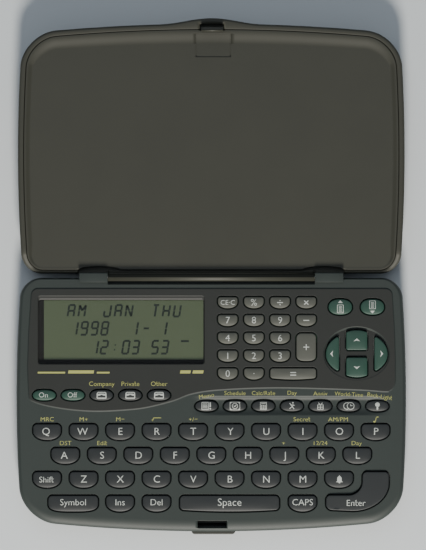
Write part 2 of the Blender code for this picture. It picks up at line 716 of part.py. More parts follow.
def make_screws():
    for name, centre in SCREWS.items():
        head, shank = (circle(centre, radius, 12) for radius in (1.9, 0.8))
        loft(name, [(head, 0.4), (head, 1.5), (shank, 1.5), (shank, 7.5)], STEEL)


def make_display():
    slab("display_window", rectangle(*WINDOW), *WINDOW_Z, CLEAR)
    x0, x1, y0, y1 = WINDOW
    slab("display_panel", rectangle(x0 + 0.6, x1 - 0.6, y0 + 0.6, y1 - 0.6), *GLASS_Z, DISPLAY_GREEN)
    slab("backlight_panel", rectangle(x0 + 1.8, x1 - 1.8, y0 + 1.8, y1 - 1.8), *FOIL_Z, FOIL)


def make_power_parts():
    for name, centre in CELLS.items():
        slab(name, circle(centre, CELL_RADIUS, 32), *CELL_Z, STEEL)
    slab("buzzer", circle(BUZZER, BUZZER_RADIUS, 28), 1.9, 2.6, BRASS)


def centre_of(outline):
    xs, ys = zip(*outline)
    return (min(xs) + max(xs)) / 2, (min(ys) + max(ys)) / 2


def main():
    for old in list(bpy.data.objects):
        bpy.data.objects.remove(old)
    block, power, cursor = main_keys(), power_keys(), cursor_outlines()
    make_upper_housing({
        DECK: list(block.values()),
        PANEL: [*power.values(), *calculator_keys(), *page_keys(), *directory_keys()],
        DISH_FLOOR: list(cursor.values()),
        SCOOP_FLOOR: function_keys(),
    })
    make_lower_housing()
    make_battery_cover()
    make_lid_shell()
    make_lid_liner()
    for name, cap in block.items():
        key(name, cap, CAP_TOP, DARK_KEY)
    for name, cap in {**power, **cursor}.items():
        key(name, cap, PANEL_CAP_TOP, GREEN_KEY, POWER_FLANGE_REACH)
    make_keypads()
    make_dome_sheet([centre_of(cap) for cap in (block | power | cursor).values()])
    make_circuit_board()
    make_latch_button()
    make_hinge_pins()
    make_screws()
    make_display()
    make_power_parts()


main()
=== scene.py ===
"""Looks for the pocket organiser: fine mouldings, keys, printed legends, display, light and camera."""

import json
import math

import bmesh
import bpy
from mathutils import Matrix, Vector
from mathutils.geometry import delaunay_2d_cdt


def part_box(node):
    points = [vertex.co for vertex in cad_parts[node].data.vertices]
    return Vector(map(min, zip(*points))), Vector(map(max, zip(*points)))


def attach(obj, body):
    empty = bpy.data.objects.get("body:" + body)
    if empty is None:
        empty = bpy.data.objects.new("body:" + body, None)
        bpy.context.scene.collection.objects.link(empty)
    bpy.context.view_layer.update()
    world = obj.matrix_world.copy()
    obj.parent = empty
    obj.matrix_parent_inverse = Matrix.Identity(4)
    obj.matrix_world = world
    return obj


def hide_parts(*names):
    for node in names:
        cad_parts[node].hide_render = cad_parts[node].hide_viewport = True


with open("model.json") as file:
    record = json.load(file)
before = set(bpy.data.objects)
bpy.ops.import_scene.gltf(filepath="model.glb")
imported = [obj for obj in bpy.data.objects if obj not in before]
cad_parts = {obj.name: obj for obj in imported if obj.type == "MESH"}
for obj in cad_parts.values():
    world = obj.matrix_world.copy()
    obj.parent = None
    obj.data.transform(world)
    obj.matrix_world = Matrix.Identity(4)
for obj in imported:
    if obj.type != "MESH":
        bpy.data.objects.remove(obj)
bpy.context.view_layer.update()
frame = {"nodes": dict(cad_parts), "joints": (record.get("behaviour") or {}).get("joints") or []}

MM = 0.001

# Levels and outlines that follow the frame, in millimetres
HINGE = next(j for j in frame["joints"] if j["name"] == "lid_hinge")["pos_m"]
HINGE_Y = HINGE[1] / MM
HINGE_Z = HINGE[2] / MM
DECK = 10.0
PANEL = 10.3
DECK_UNDER = 8.8
SPLIT_HIGH = 4.5
SPLIT_LOW = 4.2
WALL = 1.8
GAP = 0.3
SCOOP_DEPTH = 1.0
SCOOP_FADE = 10.0
LIP = 0.22
CAP_EDGE = 0.32
OVAL_POWER = 0.9
CROWN = 0.36
CORNER_STEPS = 20
FIFTHS = (0.0, 0.2, 0.4, 0.6, 0.8, 1.0)
ROLL_FOOT = 8.2
ROLL_REACH = (1.3, 4.0, 0.45)  # how far the rolled edge is drawn in at the sides, front and rear
KEY_FOOT, PAD_FOOT = 7.9, 7.6
CATCH_X = 0.3
CATCH_SLOT = (CATCH_X - 4.8, CATCH_X + 4.8)
TONGUE = 0.8
LID_BOTTOM = 5.4
GRIP_TOP, GRIP_DEPTH = 11.0, 0.2


def box_mm(node):
    low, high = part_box(node)
    return low.x / MM, high.x / MM, low.y / MM, high.y / MM, low.z / MM, high.z / MM


# ---- outlines


def arc(centre, radii, start, end, steps):
    """Points of an arc, in degrees, both ends included. Two radii make it elliptical."""
    wide, high = radii if isinstance(radii, tuple) else (radii, radii)
    angles = [math.radians(start + (end - start) * i / steps) for i in range(steps + 1)]
    return [(centre[0] + wide * math.cos(a), centre[1] + high * math.sin(a)) for a in angles]


def arcs(*rows):
    """Arcs one after another."""
    return [point for row in rows for point in arc(*row)]


def quarter(steps):
    """Sine and cosine of angles from 0 to 90 degrees."""
    angles = [math.pi / 2 * i / steps for i in range(steps + 1)]
    return [(math.sin(a), math.cos(a)) for a in angles]


def unit(value):
    return max(0.0, min(1.0, value))


def ease(t):
    """A smooth step from 0 to 1."""
    return t * t * (3 - 2 * t)


def circle(centre, radius, steps):
    return arc(centre, radius, 0, 360 - 360 / steps, steps - 1)


def rectangle(x0, x1, y0, y1):
    return [(x0, y0), (x1, y0), (x1, y1), (x0, y1)]


def soft_rectangle(x0, x1, y0, y1, radius, steps=5):
    left, right, low, high = x0 + radius, x1 - radius, y0 + radius, y1 - radius
    corners = ((right, low, -90), (right, high, 0), (left, high, 90), (left, low, 180))
    return arcs(*(((x, y), radius, start, start + 90, steps) for x, y, start in corners))


def oval(centre, width, height, steps=44):
    """An oval a little fuller than an ellipse."""
    points = []
    for i in range(steps):
        c, s = math.cos(2 * math.pi * i / steps), math.sin(2 * math.pi * i / steps)
        points.append((centre[0] + width / 2 * math.copysign(abs(c) ** OVAL_POWER, c),
                       centre[1] + height / 2 * math.copysign(abs(s) ** OVAL_POWER, s)))
    return points


def dedupe(points):
    kept = []
    for p in points:
        if not kept or math.dist(p, kept[-1]) > 0.01:
            kept.append(p)
    if math.dist(kept[0], kept[-1]) < 0.01:
        kept.pop()
    return kept


def dee(centre, width, height, steps=14):
    """A key outline: a flat top with small corners, over a bowed lower edge."""
    x, y = centre
    if width > 3.5 * height:
        return long_key(centre, width, height)
    small = min(width, height) * 0.24
    drop = min(height * 0.57, width * 0.33)
    high, lower = y + height / 2 - small, y - height / 2 + drop
    fullness = 0.96 - 0.25 * abs(width / height - 1.7)
    points = arcs(((x + width / 2 - small, high), small, 0, 90, 6), ((x - width / 2 + small, high), small, 90, 180, 6))
    for side in (-1, 1):
        bow = [(x + side * width / 2 * max(0.0, c) ** fullness, lower - drop * s ** fullness)
               for s, c in quarter(steps)]
        points += bow if side < 0 else bow[::-1]
    return dedupe(points)


def long_key(centre, width, height):
    """The same outline for a key several times wider than high: small corners all round."""
    x, y = centre
    small, bow = height * 0.25, height * 0.1
    high, low = y + height / 2 - small, y - height / 2 + bow + small
    side = width / 2 - small
    bowed = [(x + side * t / 10, y - height / 2 + bow * (t / 10) ** 2) for t in range(-9, 10)]
    rest = arcs(((x + side, high), small, 0, 90, 6), ((x - side, high), small, 90, 180, 6),
                ((x - side, low), small, 180, 267, 6))
    return rest + bowed + arc((x + side, low), small, 273, 360, 6)


def offset(points, distance):
    """The outline moved out by a distance, corners mitred."""
    moved = []
    for i, (x, y) in enumerate(points):
        ax, ay = points[i - 1]
        bx, by = points[(i + 1) % len(points)]
        n1 = (y - ay, ax - x)
        n2 = (by - y, x - bx)
        l1, l2 = math.hypot(*n1), math.hypot(*n2)
        n1, n2 = (n1[0] / l1, n1[1] / l1), (n2[0] / l2, n2[1] / l2)
        scale = distance / (1 + n1[0] * n2[0] + n1[1] * n2[1])
        moved.append((x + (n1[0] + n2[0]) * scale, y + (n1[1] + n2[1]) * scale))
    return moved


def split_long_edges(points, longest):
    dense = []
    for a, b in zip(points, points[1:] + points[:1]):
        parts = max(1, math.ceil(math.dist(a, b) / longest))
        dense += [(a[0] + (b[0] - a[0]) * i / parts, a[1] + (b[1] - a[1]) * i / parts) for i in range(parts)]
    return dense


def spline(points, steps):
    """An open Catmull-Rom curve through the points."""
    ends = [points[0], *points, points[-1]]
    curve = []
    for p0, p1, p2, p3 in zip(ends, ends[1:], ends[2:], ends[3:]):
        for i in range(steps):
            t = i / steps
            curve.append(tuple(0.5 * (2 * b + (c - a) * t + (2 * a - 5 * b + 4 * c - d) * t * t
                                      + (3 * b - a - 3 * c + d) * t ** 3)
                               for a, b, c, d in zip(p0, p1, p2, p3)))
    return curve + [points[-1]]


FRONT_CORNER = 11.0
REAR_CORNER = 6.5
THUMB_HALF_WIDTH = 17.0


def half_outline(half_width, depth, side_bow, front_bow, bulge):
    """One half of the case with its rear edge on y = 0 and its front edge towards -y."""
    corners = ((half_width - FRONT_CORNER, FRONT_CORNER - depth, FRONT_CORNER, -90),
               (half_width - REAR_CORNER, -REAR_CORNER, REAR_CORNER, 0),
               (REAR_CORNER - half_width, -REAR_CORNER, REAR_CORNER, 90),
               (FRONT_CORNER - half_width, FRONT_CORNER - depth, FRONT_CORNER, 180))
    points = arcs(*(((x, y), radius, start, start + 90, CORNER_STEPS) for x, y, radius, start in corners))
    bowed = []
    for x, y in split_long_edges(points, 1.6):
        along = 1 + 2 * y / depth
        front = max(0.0, -along) ** 2
        swell = front_bow * (1 - (x / half_width) ** 2)
        if abs(x) < THUMB_HALF_WIDTH:
            swell += bulge * math.cos(math.pi / 2 * x / THUMB_HALF_WIDTH) ** 2
        bowed.append((x + side_bow * (1 - along ** 2) * x / half_width, y - swell * front))
    return bowed


BASE_X0, BASE_X1, BASE_Y0, BASE_Y1, *_ = box_mm("lower_housing")
LID_X0, LID_X1, _, LID_Y1, *_ = box_mm("lid_shell")
BASE_SIDE_BOW, BASE_FRONT_BOW = 1.6, 3.65
LID_SIDE_BOW, LID_FRONT_BOW, THUMB_BULGE = 1.5, 3.3, 1.8
LID_REAR_GAP = 1.1


def base_outline():
    depth = BASE_Y1 - BASE_Y0 - BASE_FRONT_BOW
    half = half_outline(BASE_X1 - BASE_SIDE_BOW, depth, BASE_SIDE_BOW, BASE_FRONT_BOW, 0.0)
    return [(x, y + BASE_Y1) for x, y in half]


def lid_outline(bulge=THUMB_BULGE):
    depth = LID_Y1 - LID_FRONT_BOW - THUMB_BULGE - HINGE_Y - LID_REAR_GAP
    half = half_outline(LID_X1 - LID_SIDE_BOW, depth, LID_SIDE_BOW, LID_FRONT_BOW, bulge)
    return [(x, HINGE_Y + LID_REAR_GAP - y) for x, y in reversed(half)]


def lean(outline, side, front, rear):
    """The base outline drawn in, further at the front edge and less at the rear, for the rolled top edge."""
    middle = (BASE_Y0 + BASE_Y1) / 2
    half_depth = (BASE_Y1 - BASE_Y0) / 2
    drawn = []
    for x, y in offset(outline, -side):
        along = (middle - y) / half_depth
        shift = (front - side) * max(0.0, along) ** 3 + (rear - side) * min(0.0, along) ** 7
        drawn.append((x, y + shift))
    return drawn


def panel_outline():
    """The raised panel around the display and calculator, with its S-shaped front edge."""
    s_edge = spline([(-60.1, 2.6), (-59.2, 1.1), (-54.5, -0.5), (-46.0, -1.9), (-37.0, -2.4), (-27.3, -1.9),
                     (-21.0, -1.1), (-12.6, 1.0), (-6.3, 3.3), (3.0, 4.6), (22.3, 5.3), (48.0, 4.6),
                     (57.0, 4.0), (58.8, 4.4), (60.0, 5.5), (60.6, 7.2)], 6)
    right = [(60.6, 14.0), (60.3, 24.0)] + arc((57.3, 35.8), 2.3, 0, 90, 6)
    left = arc((-57.0, 35.8), 2.3, 90, 180, 6) + [(-60.1, 24.0), (-60.5, 12.0)]
    return split_long_edges(s_edge + right + left, 2.5)


def enter_outline():
    points = arcs(((39.7, -32.8), 2.0, 180, 270, 6), ((46.5, -25.7), (11.9, 9.4), 270, 360, 24),
                  ((57.0, -23.6), 1.4, 0, 90, 6), ((51.1, -23.6), 1.4, 90, 180, 6),
                  ((45.1, -25.3), 4.6, 0, -90, 12), ((39.1, -31.3), 1.4, 90, 180, 6))
    return split_long_edges(dedupe(points), 1.5)


# ---- keys, from the frame's boxes

CAP_REACH = 0.8
POWER_REACH = 0.6
POWER = ("key_on", "key_off")
CURSOR = ("key_up", "key_down", "key_left", "key_right")
BLOCK = [n for n in frame["nodes"] if n.startswith("key_") and n not in POWER + CURSOR]


def cap_box(node, reach=CAP_REACH):
    """Centre, width and height of a cap, whose CAD node reaches further under the deck."""
    x0, x1, y0, y1, *_ = box_mm(node)
    return ((x0 + x1) / 2, (y0 + y1) / 2), x1 - x0 - 2 * reach, y1 - y0 - 2 * reach


def cursor_centre():
    left, right = box_mm("key_left"), box_mm("key_right")
    return (left[0] + right[1]) / 2, (left[2] + left[3]) / 2


def cursor_outlines():
    """Up and down keys with a bowed outer edge, and side keys cut from an oval, corners eased."""
    cx, cy = cursor_centre()
    upper = arcs(((-2.8, 1.9), 0.7, 180, 270, 5), ((2.8, 1.9), 0.7, 270, 360, 5), ((2.9, 6.7), 0.6, 0, 68, 5),
                 ((0.0, -1.15), 8.95, 70, 110, 12), ((-2.9, 6.7), 0.6, 112, 180, 5))
    side = arcs(((6.4, -4.92), 0.6, 180, 300, 7), ((0.0, 0.0), (10.2, 7.2), -48, 48, 26),
                ((6.4, 4.92), 0.6, 60, 180, 7))
    outlines = {}
    for name, points, along, up in (("key_up", upper, 1, 1), ("key_down", upper, 1, -1), ("key_right", side, 1, 1),
                                    ("key_left", side, -1, 1)):
        placed = [(cx + along * x, cy + up * y) for x, y in points]
        outlines[name] = dedupe(placed if along == up else placed[::-1])
    return outlines


def block_outlines():
    return {name: enter_outline() if name == "key_enter" else dee(*cap_box(name)) for name in BLOCK}


def power_outlines():
    return {name: oval(*cap_box(name, POWER_REACH)) for name in POWER}


CALC_X0, _, CALC_Y0, CALC_Y1, _, PAD_TOP = box_mm("calculator_keypad")
CALC_X, CALC_Y = CALC_X0 + 4.6, CALC_Y1 - 3.2
CALC_PITCH_X, CALC_PITCH_Y = 8.6, 5.85
CALC_W, CALC_H, CALC_PLUS_H = 6.5, 3.8, 9.2
PAGE_CENTRES = ((42.4, 32.0), (52.95, 32.0))
PAGE_SIZE = (7.8, 5.2)
OVAL_SIZE = (7.5, 3.65)
PAD_STEPS = 7
DIRECTORY_CENTRES = [(-54.9 + i * 9.43, 3.0) for i in (2, 3, 4)]
FUNCTION_CENTRES = [(-1.6 + i * 9.37, -0.6) for i in range(7)]
SCOOP_CAP_TOP = 9.9
CAP_TOP = 10.8


def calculator_caps():
    """Centre, width and height of the 18 calculator keys, with their legends."""
    labels = (("CE·C", "%", "÷", "×"), ("7", "8", "9", "−"), ("4", "5", "6", None), ("1", "2", "3", None),
              ("0", "·", None, None))
    caps = []
    for row, line in enumerate(labels):
        for column, label in enumerate(line):
            if label:
                centre = (CALC_X + column * CALC_PITCH_X, CALC_Y - row * CALC_PITCH_Y)
                caps.append((centre, CALC_W, CALC_H, label))
    right, bottom = CALC_X + 3 * CALC_PITCH_X, CALC_Y - 4 * CALC_PITCH_Y
    caps.append(((right, CALC_Y - 2.5 * CALC_PITCH_Y), CALC_W, CALC_PLUS_H, "+"))
    caps.append(((right - CALC_PITCH_X / 2, bottom), CALC_W + CALC_PITCH_X, CALC_H, "="))
    return caps


# ---- mesh building


def ring(bm, outline, z):
    """Verts of an outline at a height, which may be a function of the place."""
    level = z if callable(z) else (lambda x, y: z)
    return [bm.verts.new((x * MM, y * MM, level(x, y) * MM)) for x, y in outline]


def band(bm, lower, upper, smooth=True):
    for i in range(len(lower)):
        bm.faces.new((lower[i - 1], lower[i], upper[i], upper[i - 1])).smooth = smooth


def bands(bm, rings, smooth=True):
    for lower, upper in zip(rings, rings[1:]):
        band(bm, lower, upper, smooth)


def inside(point, polygon):
    x, y = point
    odd = False
    for (ax, ay), (bx, by) in zip(polygon, polygon[1:] + polygon[:1]):
        if (ay > y) != (by > y) and x < ax + (bx - ax) * (y - ay) / (by - ay):
            odd = not odd
    return odd


class Region:
    """An outline with its bounding box, for quick tests."""

    def __init__(self, loop):
        self.points = [(v.co.x / MM, v.co.y / MM) for v in loop]
        xs, ys = zip(*self.points)
        self.box = min(xs), max(xs), min(ys), max(ys)

    def holds(self, point, margin=0.0):
        x0, x1, y0, y1 = self.box
        if not (x0 - margin < point[0] < x1 + margin and y0 - margin < point[1] < y1 + margin):
            return False
        if margin and min(math.dist(point, p) for p in self.points) < margin:
            return True
        return inside(point, self.points)


def sheet(bm, outer, holes=(), height=None, spacing=0.0, up=True):
    """A surface inside the outer loop and outside the holes, with its own points where it curves."""
    loops = [outer, *holes]
    verts = [v for loop in loops for v in loop]
    points = [Vector((v.co.x / MM, v.co.y / MM)) for v in verts]
    edges, start = [], 0
    for loop in loops:
        edges += [(start + i, start + (i + 1) % len(loop)) for i in range(len(loop))]
        start += len(loop)
    border, gaps = Region(outer), [Region(loop) for loop in holes]
    if spacing:
        x0, x1, y0, y1 = border.box
        rows, columns = int((y1 - y0) / spacing), int((x1 - x0) / spacing)
        for j in range(1, rows):
            for i in range(1, columns):
                p = (x0 + (x1 - x0) * (i + 0.5 * (j % 2)) / columns, y0 + (y1 - y0) * j / rows)
                clear = min(math.dist(p, q) for q in border.points) > 0.45 * spacing
                if clear and border.holds(p) and not any(g.holds(p, 0.45 * spacing) for g in gaps):
                    points.append(Vector(p))
    made = delaunay_2d_cdt(points, edges, [], 0, 1e-6)
    own = []
    for place, origins in zip(made[0], made[3]):
        known = [i for i in origins if i < len(verts)]
        if known:
            own.append(verts[known[0]])
        else:
            own.append(bm.verts.new((place.x * MM, place.y * MM, height(place.x, place.y) * MM)))
    for face in made[2]:
        corners = [own[i] for i in face]
        middle = (sum(v.co.x for v in corners) / 3 / MM, sum(v.co.y for v in corners) / 3 / MM)
        if border.holds(middle) and not any(g.holds(middle) for g in gaps):
            flat = bm.faces.new(corners if up else corners[::-1])
            flat.smooth = bool(spacing)


def lowered(level, drop):
    """A height, fixed or a function of the place, less a drop."""
    return (lambda x, y: level(x, y) - drop) if callable(level) else level - drop


def lip(bm, outline, top, bottom):
    """The wall of an opening with a rounded top edge. Returns its top and bottom loops."""
    rings = [ring(bm, offset(outline, LIP * (1 - s)), lowered(top, LIP * (1 - c))) for s, c in quarter(3)]
    rings.append(ring(bm, outline, bottom))
    bands(bm, rings)
    return rings[0], rings[-1]


def piece(name, bm, finish=None, body=None, recalc=True):
    """Makes the mesh an object, which takes the finish given and rides on its body, where it has them."""
    if recalc:
        bmesh.ops.recalc_face_normals(bm, faces=bm.faces)
    mesh = bpy.data.meshes.new(name)
    bm.to_mesh(mesh)
    bm.free()
    obj = bpy.data.objects.new(name, mesh)
    bpy.context.scene.collection.objects.link(obj)
    if finish:
        mesh.materials.append(finish)
    if body:
        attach(obj, body)
    return obj


def loft(levels, smooth=True):
    """A closed solid through outlines of equal length, capped at both ends."""
    bm = bmesh.new()
    rings = [ring(bm, outline, z) for outline, z in levels]
    bands(bm, rings, smooth)
    sheet(bm, rings[0], up=False)
    sheet(bm, rings[-1])
    return bm


def rod_x(profile, x0, x1, ease=0.0, smooth=True):
    """A solid with a profile in Y and Z run from x0 to x1, its two ends eased."""
    bm = bmesh.new()
    cy = sum(p[0] for p in profile) / len(profile)
    cz = sum(p[1] for p in profile) / len(profile)
    stations = [(x0, ease), (x0 + 0.3 * ease, 0.3 * ease), (x0 + ease, 0.0), (x1 - ease, 0.0),
                (x1 - 0.3 * ease, 0.3 * ease), (x1, ease)] if ease else [(x0, 0.0), (x1, 0.0)]
    rings = []
    for x, shrink in stations:
        shape = offset([(y - cy, z - cz) for y, z in profile], -shrink)
        rings.append([bm.verts.new((x * MM, (y + cy) * MM, (z + cz) * MM)) for y, z in shape])
    bands(bm, rings, smooth)
    bm.faces.new(rings[0][::-1])
    bm.faces.new(rings[-1])
    return bm


def cut(target, bm, operation="DIFFERENCE"):
    """Applies an exact Boolean with a tool mesh."""
    helper = piece("tool", bm)
    step = target.modifiers.new("cut", "BOOLEAN")
    step.operation = operation
    step.solver = "EXACT"
    step.object = helper
    graph = bpy.context.evaluated_depsgraph_get()
    result = bpy.data.meshes.new_from_object(target.evaluated_get(graph))
    target.modifiers.clear()
    finish = target.data.materials[0]
    target.data = result
    result.materials.clear()
    result.materials.append(finish)
    bpy.data.objects.remove(helper)


def weld(target, bm):
    cut(target, bm, "UNION")


def prism(outline, z0, z1, smooth=True):
    return loft([(outline, z0), (outline, z1)], smooth)


def box_tool(x0, x1, y0, y1, z0, z1):
    return prism(rectangle(x0, x1, y0, y1), z0, z1, False)


# ---- materials


def set_inputs(node, values):
    """Sets inputs of a shader node. In the keys an underscore stands for a space."""
    for key, value in values.items():
        node.inputs[key.replace("_", " ")].default_value = value
    return node


def material(name, **values):
    """A new material and its main shader."""
    made = bpy.data.materials.new(name)
    made.use_nodes = True
    return made, set_inputs(made.node_tree.nodes["Principled BSDF"], values)


def add_node(made, kind, **values):
    return set_inputs(made.node_tree.nodes.new("ShaderNode" + kind), values)


def wire(made, *links):
    """Each link runs from a node's output to another node's input."""
    for source, output, target, entry in links:
        made.node_tree.links.new(source.outputs[output], target.inputs[entry])


def plastic(name, colour, roughness, grain=0.00022, bump=0.25, mottle=0.08, specular=0.5):
    """Moulded plastic with a fine spark-eroded grain and slight unevenness in colour and gloss."""
    made, shader = material(name, Specular_IOR_Level=specular)
    where = add_node(made, "TexCoord")
    fine = add_node(made, "TexNoise", Scale=1 / grain, Detail=2.0)
    height = add_node(made, "Bump", Strength=bump, Distance=0.00003)
    broad = add_node(made, "TexNoise", Scale=60.0, Detail=4.0)
    tint = add_node(made, "Mix")
    tint.data_type = "RGBA"
    set_inputs(tint, {key: (*(c * share for c in colour), 1.0) for key, share in (("A", 1 - mottle), ("B", 1 + mottle))})
    gloss = add_node(made, "MapRange", To_Min=roughness - 0.06, To_Max=roughness + 0.06)
    wire(made, (where, "Object", fine, "Vector"), (fine, "Fac", height, "Height"), (height, "Normal", shader, "Normal"),
         (where, "Object", broad, "Vector"), (broad, "Fac", tint, "Factor"), (tint, "Result", shader, "Base Color"),
         (fine, "Fac", gloss, "Value"), (gloss, "Result", shader, "Roughness"))
    return made


def metal(name, colour, roughness):
    """Brushed metal: fine scratches stretched along X."""
    made, shader = material(name, Base_Color=(*colour, 1.0), Metallic=1.0)
    where = add_node(made, "TexCoord")
    stretch = add_node(made, "Mapping", Scale=(300.0, 9000.0, 9000.0))
    scratch = add_node(made, "TexNoise", Scale=1.0)
    gloss = add_node(made, "MapRange", To_Min=roughness - 0.1, To_Max=roughness + 0.12)
    wire(made, (where, "Object", stretch, "Vector"), (stretch, "Vector", scratch, "Vector"),
         (scratch, "Fac", gloss, "Value"), (gloss, "Result", shader, "Roughness"))
    return made


SHELL = plastic("shell_plastic", (0.032, 0.034, 0.029), 0.55, specular=0.35)
DECK_PLASTIC = plastic("deck_plastic", (0.0245, 0.0322, 0.0295), 0.55, specular=0.35)
PANEL_PLASTIC = plastic("panel_plastic", (0.018, 0.020, 0.018), 0.55, specular=0.35)
LID_PLASTIC = plastic("lid_plastic", (0.037, 0.038, 0.029), 0.55, specular=0.35)
DARK_KEY = plastic("dark_key", (0.020, 0.023, 0.024), 0.5, bump=0.12, specular=0.35)
GREEN_KEY = plastic("green_key", (0.020, 0.056, 0.041), 0.5, bump=0.12, specular=0.35)
GREY_KEY = plastic("grey_key", (0.070, 0.074, 0.063), 0.6, bump=0.2, specular=0.35)
WHITE_PRINT = plastic("white_print", (0.46, 0.49, 0.46), 0.6, bump=0.05)
YELLOW_PRINT = plastic("yellow_print", (0.36, 0.37, 0.11), 0.6, bump=0.05)
# Dark print under the display window's edge, which also serves as painted shade in the display recess.
BORDER_PRINT_AND_SHADE = plastic("border_print_and_shade", (0.013, 0.013, 0.012), 0.4, bump=0.0, specular=0.3)
DISPLAY_GREEN = plastic("display_green", (0.099, 0.130, 0.074), 0.35, grain=0.0004, bump=0.05, mottle=0.03)
SEGMENT = plastic("display_segment", (0.016, 0.026, 0.020), 0.35, bump=0.0, mottle=0.02)
STEEL = metal("steel", (0.42, 0.42, 0.44), 0.42)
BRASS = metal("brass", (0.60, 0.45, 0.20), 0.35)
BOARD = plastic("board", (0.02, 0.11, 0.05), 0.45, bump=0.1)
RUBBER = plastic("rubber", (0.22, 0.23, 0.23), 0.75, bump=0.3)
FOIL = plastic("foil", (0.7, 0.74, 0.66), 0.35, bump=0.05)
# The window shows what lies under it and takes a faint reflection.
CLEAR = material("clear_window", Base_Color=(0.02, 0.02, 0.02, 1.0), Roughness=0.04, Specular_IOR_Level=0.3,
                 Alpha=0.12)[0]


# ---- keyboard half


SCOOP_X = (FUNCTION_CENTRES[0][0] - 6.0, FUNCTION_CENTRES[-1][0] + 5.6)
SCOOP_Y = (FUNCTION_CENTRES[0][1] - 3.15, FUNCTION_CENTRES[0][1] + 3.35)


def scoop_outline():
    return split_long_edges(soft_rectangle(*SCOOP_X, *SCOOP_Y, 1.0), 0.8)


def scoop_height(x, y):
    """A trough with a steep rear wall and a gentle front one, which runs out softly at both ends."""
    t = (y - SCOOP_Y[0]) / (SCOOP_Y[1] - SCOOP_Y[0])
    front, rear = (math.sin(math.pi / 2 * unit(way)) for way in (t / 0.5, (1 - t) / 0.26))
    end = unit(min((x - SCOOP_X[0]) / SCOOP_FADE, (SCOOP_X[1] - x) / SCOOP_FADE))
    return DECK - SCOOP_DEPTH * min(front, rear) * ease(end)


def blend(level, surface, share):
    """A height part of the way from a level to a surface."""
    return lambda x, y: level + (surface(x, y) - level) * share


def dish_floor(x, y):
    """The floor of the cursor dish: deepest at the rear."""
    return PANEL - 0.3 - 0.24 * (y - cursor_centre()[1]) / 8.4


def dish_wall(bm):
    """The steep rim of the cursor dish. Returns its upper and lower loops."""
    rings = []
    for t in FIFTHS:
        outline = arc(cursor_centre(), (11.0 - 0.26 * t, 8.95 - 0.55 * t), 0, 356, 89)
        rings.append(ring(bm, outline, blend(PANEL, dish_floor, ease(t))))
    bands(bm, rings)
    return rings[0], rings[-1]


def outer_edge(bm):
    """The outside of the top moulding from its lower rim, over the rolled edge, to the deck."""
    outline = base_outline()
    rings = [ring(bm, offset(outline, -0.25), SPLIT_HIGH), ring(bm, outline, SPLIT_HIGH + 0.25),
             ring(bm, outline, 6.5), ring(bm, outline, ROLL_FOOT)]
    for s, c in quarter(9)[1:]:
        rolled = lean(outline, *(reach * (1 - c) for reach in ROLL_REACH))
        rings.append(ring(bm, rolled, ROLL_FOOT + (DECK - ROLL_FOOT) * s))
    bands(bm, rings)
    inner = offset(outline, -WALL)
    foot, head = ring(bm, inner, SPLIT_HIGH), ring(bm, inner, DECK_UNDER)
    band(bm, head, foot, False)
    sheet(bm, rings[0], [foot], up=False)
    return rings[-1], head


def make_top_housing():
    """The top moulding replaces the plain CAD one: every opening has a rounded lip."""
    bm = bmesh.new()
    edge, underside = outer_edge(bm)
    holes, through = {}, []

    def keep(level, head, foot):
        holes.setdefault(level, []).append(head)
        through.append(foot)

    def open_up(level, outlines, top):
        for outline in outlines:
            keep(level, *lip(bm, offset(outline, GAP), top, DECK_UNDER))

    open_up("deck", block_outlines().values(), DECK)
    open_up("panel", [dee(*cap[:3], PAD_STEPS) for cap in calculator_caps()], PANEL)
    open_up("panel", [oval(c, *PAGE_SIZE) for c in PAGE_CENTRES], PANEL)
    open_up("panel", power_outlines().values(), PANEL)
    open_up("panel", [oval(c, *OVAL_SIZE) for c in DIRECTORY_CENTRES], PANEL)
    keep("panel", *display_mouth(bm))
    open_up("dish", cursor_outlines().values(), dish_floor)
    open_up("scoop", [oval(c, *OVAL_SIZE) for c in FUNCTION_CENTRES], scoop_height)

    panel = panel_outline()
    panel_rings = [ring(bm, offset(panel, 0.15 - 0.45 * t), DECK + (PANEL - DECK) * ease(t)) for t in FIFTHS]
    bands(bm, panel_rings)
    dish_top, dish_foot = dish_wall(bm)
    scoop_ring = ring(bm, scoop_outline(), DECK)
    sheet(bm, edge, [panel_rings[0], scoop_ring, *holes["deck"]])
    sheet(bm, panel_rings[-1], [dish_top, *holes["panel"]])
    sheet(bm, dish_foot, holes["dish"])
    sheet(bm, scoop_ring, holes["scoop"], scoop_height, 0.42)
    sheet(bm, underside, through, up=False)
    housing = piece("top_housing", bm, DECK_PLASTIC, "base")
    cut_hinge_and_latch(housing)
    paint_panel(housing)
    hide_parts("upper_housing")


def display_mouth(bm):
    """The wall of the display opening: upright, but sloping in steps at the rear."""
    x0, x1, y0, y1 = display_opening()
    rings = []
    for out, rear, level in ((LIP, 0.38, PANEL), (0.06, 0.26, PANEL - 0.07), (0.0, 0.14, PANEL - 0.2),
                             (0.0, -0.55, PANEL - 0.32), (0.0, -0.95, PANEL - 0.56), (0.0, -1.0, DECK_UNDER)):
        rings.append(ring(bm, soft_rectangle(x0 - out, x1 + out, y0 - out, y1 + rear, 0.9), level))
    bands(bm, rings, False)
    return rings[0], rings[-1]


def paint_panel(housing):
    """The raised panel is a darker colour than the deck around it."""
    border = panel_outline()
    x0, x1, y0, y1 = display_opening()
    housing.data.materials.append(PANEL_PLASTIC)
    for face in housing.data.polygons:
        x, y, z = face.center / MM
        by_display = x0 - 0.3 < x < x1 + 0.3 and y0 - 0.3 < y < y1 + 0.4
        if z > DECK - 0.6 and (face.normal.z > 0.9 or by_display) and inside((x, y), border):
            face.material_index = 1


def display_opening():
    x0, x1, y0, y1, *_ = box_mm("display_window")
    return x0 + 2.3, x1 - 2.1, y0 + 1.9, y1 - 1.9


EAR = (34.3, 43.4)
GLASS_TOP = 8.9
WINDOW_UNDER = 9.05


